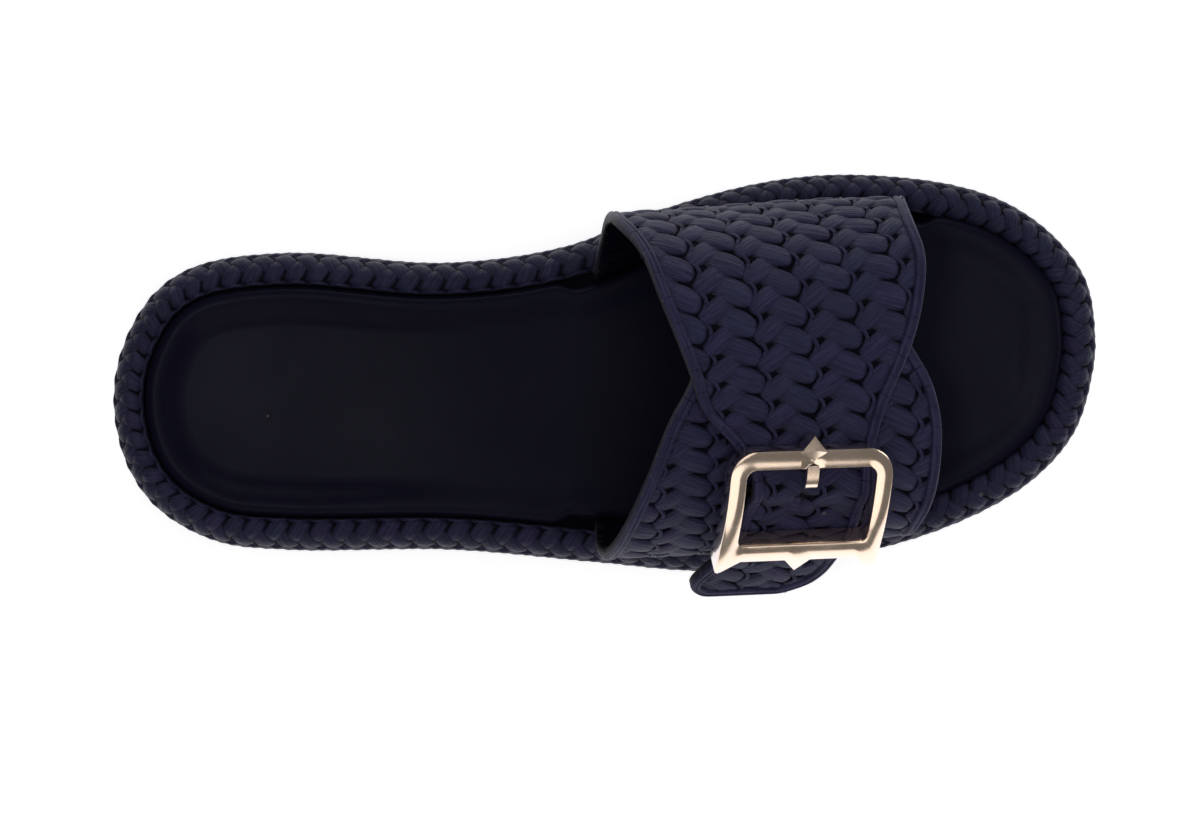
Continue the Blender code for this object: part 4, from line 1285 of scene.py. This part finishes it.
def loftRings(name, rings, material, sharp):
    count = len(rings[0])
    faces = sideFaces(len(rings), count) + capStrips(0, count) + capStrips((len(rings) - 1) * count, count)
    obj = newObject(name, np.concatenate(rings), faces, material)
    tidyMesh(obj, 1e-7, sharp)
    return obj


def levelRing(inset, height):
    place, outward = outlineAt(ringPlaces)
    plan = place - outward * np.asarray(inset).reshape(-1, 1)
    return np.column_stack([plan, height])


ringPlaces = np.linspace(0.0, perimeter, sole["ringPoints"], endpoint=False)
ringX = outlineAt(ringPlaces)[0][:, 0]


def makeSoleBody():
    rings = [levelRing(last["rimWidth"], soleTop(ringX) - last["wellDepth"])]
    for arc in np.linspace(0.0, rimArc[-1], 30):
        sunk = sole["bodyDrop"] * smoothStep(arc / sole["dropStart"])
        sunk *= smoothStep((sole["lastArc"] + sole["dropPast"] - arc) / sole["dropEnd"])
        rings.append(rimPoint(ringPlaces, np.full(len(ringPlaces), arc), -sunk))
    rings.append(levelRing(0.61 * last["rimWidth"], soleBottom(ringX)))
    rings.append(levelRing(0.63 * last["rimWidth"], soleBottom(ringX) + sole["lugHeight"]))
    return loftRings("soleBody", rings, smoothRubberPaintedShade, 50)


def makeBraid():
    # Leaves of the braid, bent over the rim from the well to the floor
    leaves = [strandMesh(rows, sole["strandBase"], 7) for rows in (braidLeft, braidRight)]
    cell = joinStrands("braidCell", leaves + [braidCord()])
    pitch = (perimeter / sole["cells"], sole["modulePitch"])
    counts = (sole["cells"], sole["modules"])
    obj = growGrid("soleBraid", cell, counts, pitch, (0.0, 0.0), 7, braidRubber, 0.02, 0.02)
    bpy.data.objects.remove(cell)
    flat = readVerts(obj)
    s, arc, h = flat.T
    toe = smoothStep((s - sole["toeFrom"]) / sole["toeBlend"])
    toe *= smoothStep((sole["toeTo"] - s) / sole["toeBlend"])
    arc = arc - sole["toeShift"] * (1.0 - arc / sole["shiftFade"]) * toe
    limited = np.clip(arc, sole["firstArc"], sole["lastArc"])
    over = np.abs(arc - limited)
    h = np.where(h > -sole["endSink"], h - np.minimum(over * 0.5, sole["endSink"]), h)
    mixTones(obj)
    # The rise drives the painted shade between the braid's leaves
    setPointValues(obj, "rise", smoothStep((h + 0.0007) / 0.0012))
    writeVerts(obj, rimPoint(s, limited, h))
    tidyMesh(obj, 2e-6)
    return obj


def makeLug():
    # One oval pad of the tread with eased edges
    rings = []
    for wide, tall, z in ((0.0030, 0.0017, 0.0016), (0.0030, 0.0017, 0.0003), (0.0027, 0.0014, 0.0)):
        for k in range(8):
            turn = 2 * math.pi * (k + 0.5) / 8
            rings.append((wide * 1.08 * math.cos(turn), tall * 1.08 * math.sin(turn), z))
    return newObject("treadLug", rings, tubeFaces(3, 8))


def makeTread():
    lug = makeLug()
    columns = int(last["length"] / sole["lugPitch"]) + 2
    rows = int(last["ballWidth"] / sole["lugRow"]) + 2
    pitch = (sole["lugPitch"], sole["lugRow"])
    first = (-pitch[0] * (columns - 1) / 2, -pitch[1] * (rows - 1) / 2)
    obj = growGrid("soleTread", lug, (columns, rows), pitch, first, 1, smoothRubberPaintedShade)
    count = len(lug.data.vertices)
    bpy.data.objects.remove(lug)
    flat = readVerts(obj)
    lugs = flat.reshape(-1, count, 3)
    # Every second column is shifted by half a row
    column = np.rint((lugs[:, :, 0].mean(axis=1)) / sole["lugPitch"] + columns)
    lugs[:, :, 1] += np.where(column % 2 == 0, sole["lugRow"] / 2, 0.0)[:, None]
    centres = lugs.mean(axis=1)
    depth, *_ = fromEdge(centres[:, :2], outlineDense[::4])
    drop = np.repeat(depth <= sole["lugInset"], count)
    flat = lugs.reshape(-1, 3)
    flat[:, 2] += soleBottom(flat[:, 0])
    obj.data.attributes.remove(obj.data.attributes["cellTone"])
    writeVerts(obj, flat)
    dropVerts(obj, drop)
    tidyMesh(obj, 1e-6, 40)
    return obj


insole = {
    "thick": 0.0068,
    "shoulder": 3.0,
    "cup": 0.0011,
    "heelCup": 0.0016,
    "heelFrom": 0.030,
    "heelBlend": 0.050,
    "legRamp": 0.005,
    "legMargin": 0.0066,
}
# Rows of the pad's top: inset in mm, then the drop, in mm on the shoulder and as a share of the cup beyond it.
padRows = (
    (0.0, 2.6), (0.10, 1.75), (0.34, 1.05), (0.80, 0.48), (1.45, 0.14), (2.4, 0.0), (3.2, 0.02), (4.6, 0.16),
    (6.2, 0.46), (7.8, 0.76), (9.4, 0.94), (11.0, 1.0),
)


def makePad():
    # Padded footbed: full rounded edge, shallow cup, room for the strap's legs
    inset = np.full(len(ringPlaces), last["rimWidth"] + last["clearance"])
    half = ringPlaces < outlineLength[toePoint * perSpan]
    for onSide, row in ((half, lateralEdges[-1]), (~half, medialEdges[0])):
        rear, front = (row[k] * strap["length"] for k in (1, 2))
        margin = 2 * last["clearance"] + insole["legMargin"] + insole["legRamp"]
        inside = np.minimum(ringX - rear + margin, front + margin - ringX)
        room = (strap["wall"] + 2 * last["clearance"]) * smoothStep(inside / insole["legRamp"])
        inset += np.where(onSide, room, 0.0)
    base = soleTop(ringX) - last["wellDepth"] + last["clearance"]
    top = base + insole["thick"]
    rings = [levelRing(inset + 0.0004, base), levelRing(inset, base + 0.0005)]
    for extra, drop in padRows:
        onShoulder = extra < insole["shoulder"]
        plan = levelRing(inset + extra * mm, top - drop * (mm if onShoulder else insole["cup"]))
        if not onShoulder:
            heel = smoothStep((-plan[:, 0] - insole["heelFrom"]) / insole["heelBlend"])
            plan[:, 2] -= insole["heelCup"] * heel * drop
        rings.append(plan)
    return loftRings("insolePad", rings, footbed, 60)


soleBody, soleBraid, soleTread = makeSoleBody(), makeBraid(), makeTread()
insolePad = makePad()
for piece, node, slot in (
    (soleBody, "sole", "rubber"),
    (soleBraid, "sole", "rubber"),
    (soleTread, "sole", "rubber"),
    (insolePad, "insole", "footbed"),
):
    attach(piece, "root")
    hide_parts(node)
madePieces = (soleBody, soleBraid, soleTread, insolePad)
print("made sole and insole:", [len(piece.data.polygons) for piece in madePieces])


print("stage: buckle")
casting = {
    "bevel": 0.00050,
    "crown": 0.00022,
    "cornerSteps": 12,
    "width": 0.0430,
    "shift": -0.0020,
    "top": -0.0034,
    "bottom": 0.0270,
    "topBar": 0.0046,
    "bottomBar": 0.0054,
    "foot": 0.0062,
    "footReach": 0.0040,
    "studReach": 0.0032,
    "studLow": 0.0026,
    "studPeak": 0.0016,
    "notchHalf": 0.0018,
    "notchDepth": 0.0012,
    "prongHalf": 0.0022,
    "prongThick": 0.0013,
}


def frameStations():
    # Outer and inner outline of the frame's right half, from the middle of the top bar to the bottom's
    half = casting["width"] / 2
    inner = half - buckle["side"]
    top, bottom = casting["top"], casting["bottom"]
    under, low = top + casting["topBar"], bottom - casting["bottomBar"]
    point = buckle["pointWidth"] / 2
    notch = casting["notchHalf"]
    stations = [((0.0, top), (0.0, under - casting["notchDepth"])),
                ((notch * 0.70, top), (notch * 0.70, under - 0.7 * casting["notchDepth"])),
                ((notch, top), (notch, under)), ((point, top), (point, under))]
    corner = buckle["corner"]
    for i in range(casting["cornerSteps"] + 1):
        turn = math.pi / 2 * i / casting["cornerSteps"]
        centre = (half - corner, top + corner)
        room = (corner - buckle["side"], corner - casting["topBar"])
        stations.append(((centre[0] + corner * math.sin(turn), centre[1] - corner * math.cos(turn)),
                         (centre[0] + room[0] * math.sin(turn), centre[1] - room[1] * math.cos(turn))))
    for share in (0.2, 0.4, 0.6, 0.8):
        q = top + corner + (low - top - corner) * share
        stations.append(((half, q), (inner, q)))
    foot = casting["foot"]
    tip = bottom + casting["footReach"]
    stations += [
        ((half, bottom - 0.0012), (inner, low - 0.0016)),
        ((half + 0.0001, tip - 0.0014), (inner - 0.0002, low - 0.0010)),
        ((half - 0.0003, tip - 0.0003), (inner - 0.0005, low - 0.0005)),
        ((half - 0.0010, tip), (inner - 0.0010, low - 0.0002)),
        ((half - 0.0018, tip - 0.0005), (inner - 0.0016, low - 0.0001)),
        ((half - foot, bottom), (inner - 0.0034, low)),
        ((point, bottom), (point, low)),
        ((0.0, bottom + buckle["point"] * 0.85), (0.0, low)),
    ]
    return [tuple((p + casting["shift"], q) for p, q in station) for station in stations]


def makeFrame():
    right = frameStations()
    middle = 2 * casting["shift"]
    stations = right + [((middle - a[0], a[1]), (middle - b[0], b[1])) for a, b in right[-2:0:-1]]
    outer, inner = (np.array([station[k] for station in stations]) for k in (0, 1))
    across = inner - outer
    across /= np.linalg.norm(across, axis=1)[:, None]
    bevel = casting["bevel"]
    levels = (
        (outer, 0.0, frameBase), (outer, 0.0, frameTop - bevel), (outer, 0.3 * bevel, frameTop - 0.3 * bevel),
        (outer, bevel, frameTop), (None, 0.0, frameTop + casting["crown"]), (inner, -bevel, frameTop),
        (inner, -0.3 * bevel, frameTop - 0.3 * bevel), (inner, 0.0, frameTop - bevel), (inner, 0.0, frameBase),
    )
    verts = []
    for edge, shift, level in levels:
        flat = (outer + inner) / 2 if edge is None else edge + across * shift
        verts.append(onBuckle(flat[:, 0], flat[:, 1], level))
    count = len(stations)
    faces = []
    for k in range(len(levels)):
        for i in range(count):
            j, other = (i + 1) % count, (k + 1) % len(levels)
            faces.append((k * count + i, k * count + j, other * count + j, other * count + i))
    # Pyramid stud over the top bar, sunk into it
    top, half, shift = casting["top"], buckle["pointWidth"] / 2, casting["shift"]
    first = len(levels) * count
    flat = np.array([(-half, top + 0.0006), (0.0, top + casting["studLow"]), (half, top + 0.0006),
                     (0.0, top - casting["studReach"])])
    verts.append(onBuckle(flat[:, 0] + shift, flat[:, 1], frameBase + 0.0004))
    verts.append(onBuckle(flat[:, 0] + shift, flat[:, 1], frameTop + 0.0001))
    verts.append(onBuckle(np.array([shift]), np.array([top - 0.0002]), frameTop + casting["studPeak"]))
    for k in range(4):
        j = (k + 1) % 4
        faces.append((first + k, first + j, first + 4 + j, first + 4 + k))
        faces.append((first + 4 + k, first + 4 + j, first + 8))
    faces.append((first, first + 1, first + 2, first + 3))
    obj = newObject("buckleCasting", np.concatenate(verts), faces, paleGold)
    tidyMesh(obj, 1e-7, 32)
    return obj


def tubeOnBuckle(name, route, radius, sides, flatten=1.0, finish=paleGold):
    # Bar through places on the buckle, each given along the foot, down and outward
    dense = np.array(route, float)
    for _ in range(2):
        middle = (dense[:-1] + dense[1:]) / 2
        rough = np.empty((len(dense) * 2 - 1, 3))
        rough[::2], rough[1::2] = dense, middle
        rough[1:-1] = (rough[:-2] + 2 * rough[1:-1] + rough[2:]) / 4
        dense = rough
    points = onBuckle(*dense.T)
    direction = unit(np.gradient(points, axis=0))
    sideways = unit(np.cross(direction, buckleOut) if abs(direction[len(points) // 2] @ buckleAlong) > 0.5
                    else np.cross(direction, np.cross(direction, buckleAlong)))
    upward = np.cross(direction, sideways)
    verts = []
    for k in range(sides):
        turn = 2 * math.pi * (k + 0.5) / sides
        verts.append(points + sideways * radius * math.cos(turn) + upward * radius * flatten * math.sin(turn))
    verts = np.stack(verts, axis=1).reshape(-1, 3)
    obj = newObject(name, verts, tubeFaces(len(points), sides), finish)
    tidyMesh(obj, 1e-7, 40)
    return obj


def makeBar():
    reach = buckle["width"] / 2 - buckle["side"] / 2
    at = buckle["barAt"]
    bend = 1.4 * buckle["barRadius"]
    half = [(reach, at, frameBase + 0.0007), (reach, at, barLevel + bend), (reach - bend, at, barLevel),
            (reach - 4 * bend, at, barLevel), (reach / 2, at, barLevel)]
    route = half + [(0.0, at, barLevel)] + [(-p, q, h) for p, q, h in half[::-1]]
    return tubeOnBuckle("buckleBar", route, buckle["barRadius"], 14, finish=barSteelPaintedShade)


def makeProng():
    rest = frameTop - buckle["depth"] / 2 + casting["prongThick"] + last["clearance"]
    under, p = casting["top"] + casting["topBar"], casting["shift"] + 0.0002
    route = [
        (p, under + 0.0060, rest - 0.0046),
        (p, under + 0.0054, rest - 0.0022),
        (p, under + 0.0046, rest - 0.0006),
        (p, under + 0.0030, rest),
        (p, under + 0.0006, rest),
        (p, under - casting["notchDepth"] + 0.0004, rest),
    ]
    flatten = casting["prongThick"] / casting["prongHalf"]
    return tubeOnBuckle("bucklePin", route, casting["prongHalf"], 4, flatten)


buckleCasting, buckleBar, bucklePin = makeFrame(), makeBar(), makeProng()
for piece, node in ((buckleCasting, "buckle_frame"), (buckleBar, "buckle_frame"), (bucklePin, "buckle_prong")):
    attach(piece, "root")
    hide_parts(node)


print("stage: floor, lights and camera")
studio = {
    "floorGlow": 0.64,
    "worldStrength": 0.16,
    "cameraPlace": (-0.0012, -0.0113, 1.122),
    "lens": 123.75,
    "aim": (0.0, 0.0, 0.03),
}
# Softboxes: name, place, size, watts and colour.
softboxes = (
    ("softTop", (0.05, 0.10, 1.30), 1.10, 2.6, (1.0, 0.99, 0.98)),
    ("softMedial", (0.05, 0.95, 0.55), 0.70, 2.6, (0.97, 0.98, 1.0)),
    ("softToe", (0.85, 0.10, 0.50), 0.55, 1.4, (0.96, 0.98, 1.0)),
    ("softLateral", (0.05, -1.02, 0.88), 1.30, 4.6, (1.0, 0.98, 0.97)),
    ("softHeel", (-0.24, -0.01, 1.35), 0.20, 1.15, (0.98, 1.0, 0.97)),
)


def makeFloor():
    material, tree, shader, place = newMaterial("paleFloor")
    skin = useGroup(tree, rubberSkin, {"Vector": place, "Patch": 3.0, "Grain": 400.0})
    fill(tree, shader, {
        "Base Color": mixColour(tree, skin["Patches"], (0.90, 0.90, 0.90, 1.0), (0.93, 0.93, 0.93, 1.0)),
        "Roughness": 0.8,
        "Specular IOR Level": 0.1,
        "Emission Color": (1.0, 1.0, 1.0, 1.0),
        "Emission Strength": studio["floorGlow"],
    })
    half = 4.0
    corners = [(x * half, y * half, 0.0) for x, y in ((-1, -1), (1, -1), (1, 1), (-1, 1))]
    return newObject("studioFloor", corners, [(0, 1, 2, 3)], material)


def makeSoftbox(name, place, size, watts, colour):
    light = bpy.data.lights.new(name, "AREA")
    light.shape = "DISK"
    light.size = size
    light.energy = watts
    light.color = colour
    obj = bpy.data.objects.new(name, light)
    obj.location = place
    obj.rotation_euler = (Vector(studio["aim"]) - Vector(place)).to_track_quat("-Z", "Y").to_euler()
    bpy.context.scene.collection.objects.link(obj)


makeFloor()
for box in softboxes:
    makeSoftbox(*box)
world = bpy.data.worlds.new("lightTent")
world.use_nodes = True
background = world.node_tree.nodes["Background"]
background.inputs["Color"].default_value = (0.97, 0.98, 1.0, 1.0)
background.inputs["Strength"].default_value = studio["worldStrength"]
bpy.context.scene.world = world
bpy.context.scene.view_settings.view_transform = "Standard"
bpy.context.scene.view_settings.look = "None"
camera = bpy.data.cameras.new("photoCamera")
camera.lens = studio["lens"]
camera.sensor_fit = "HORIZONTAL"
camera.sensor_width = 36.0
cameraObject = bpy.data.objects.new("photoCamera", camera)
cameraObject.location = studio["cameraPlace"]
bpy.context.scene.collection.objects.link(cameraObject)
bpy.context.scene.camera = cameraObject

print("stage: done")
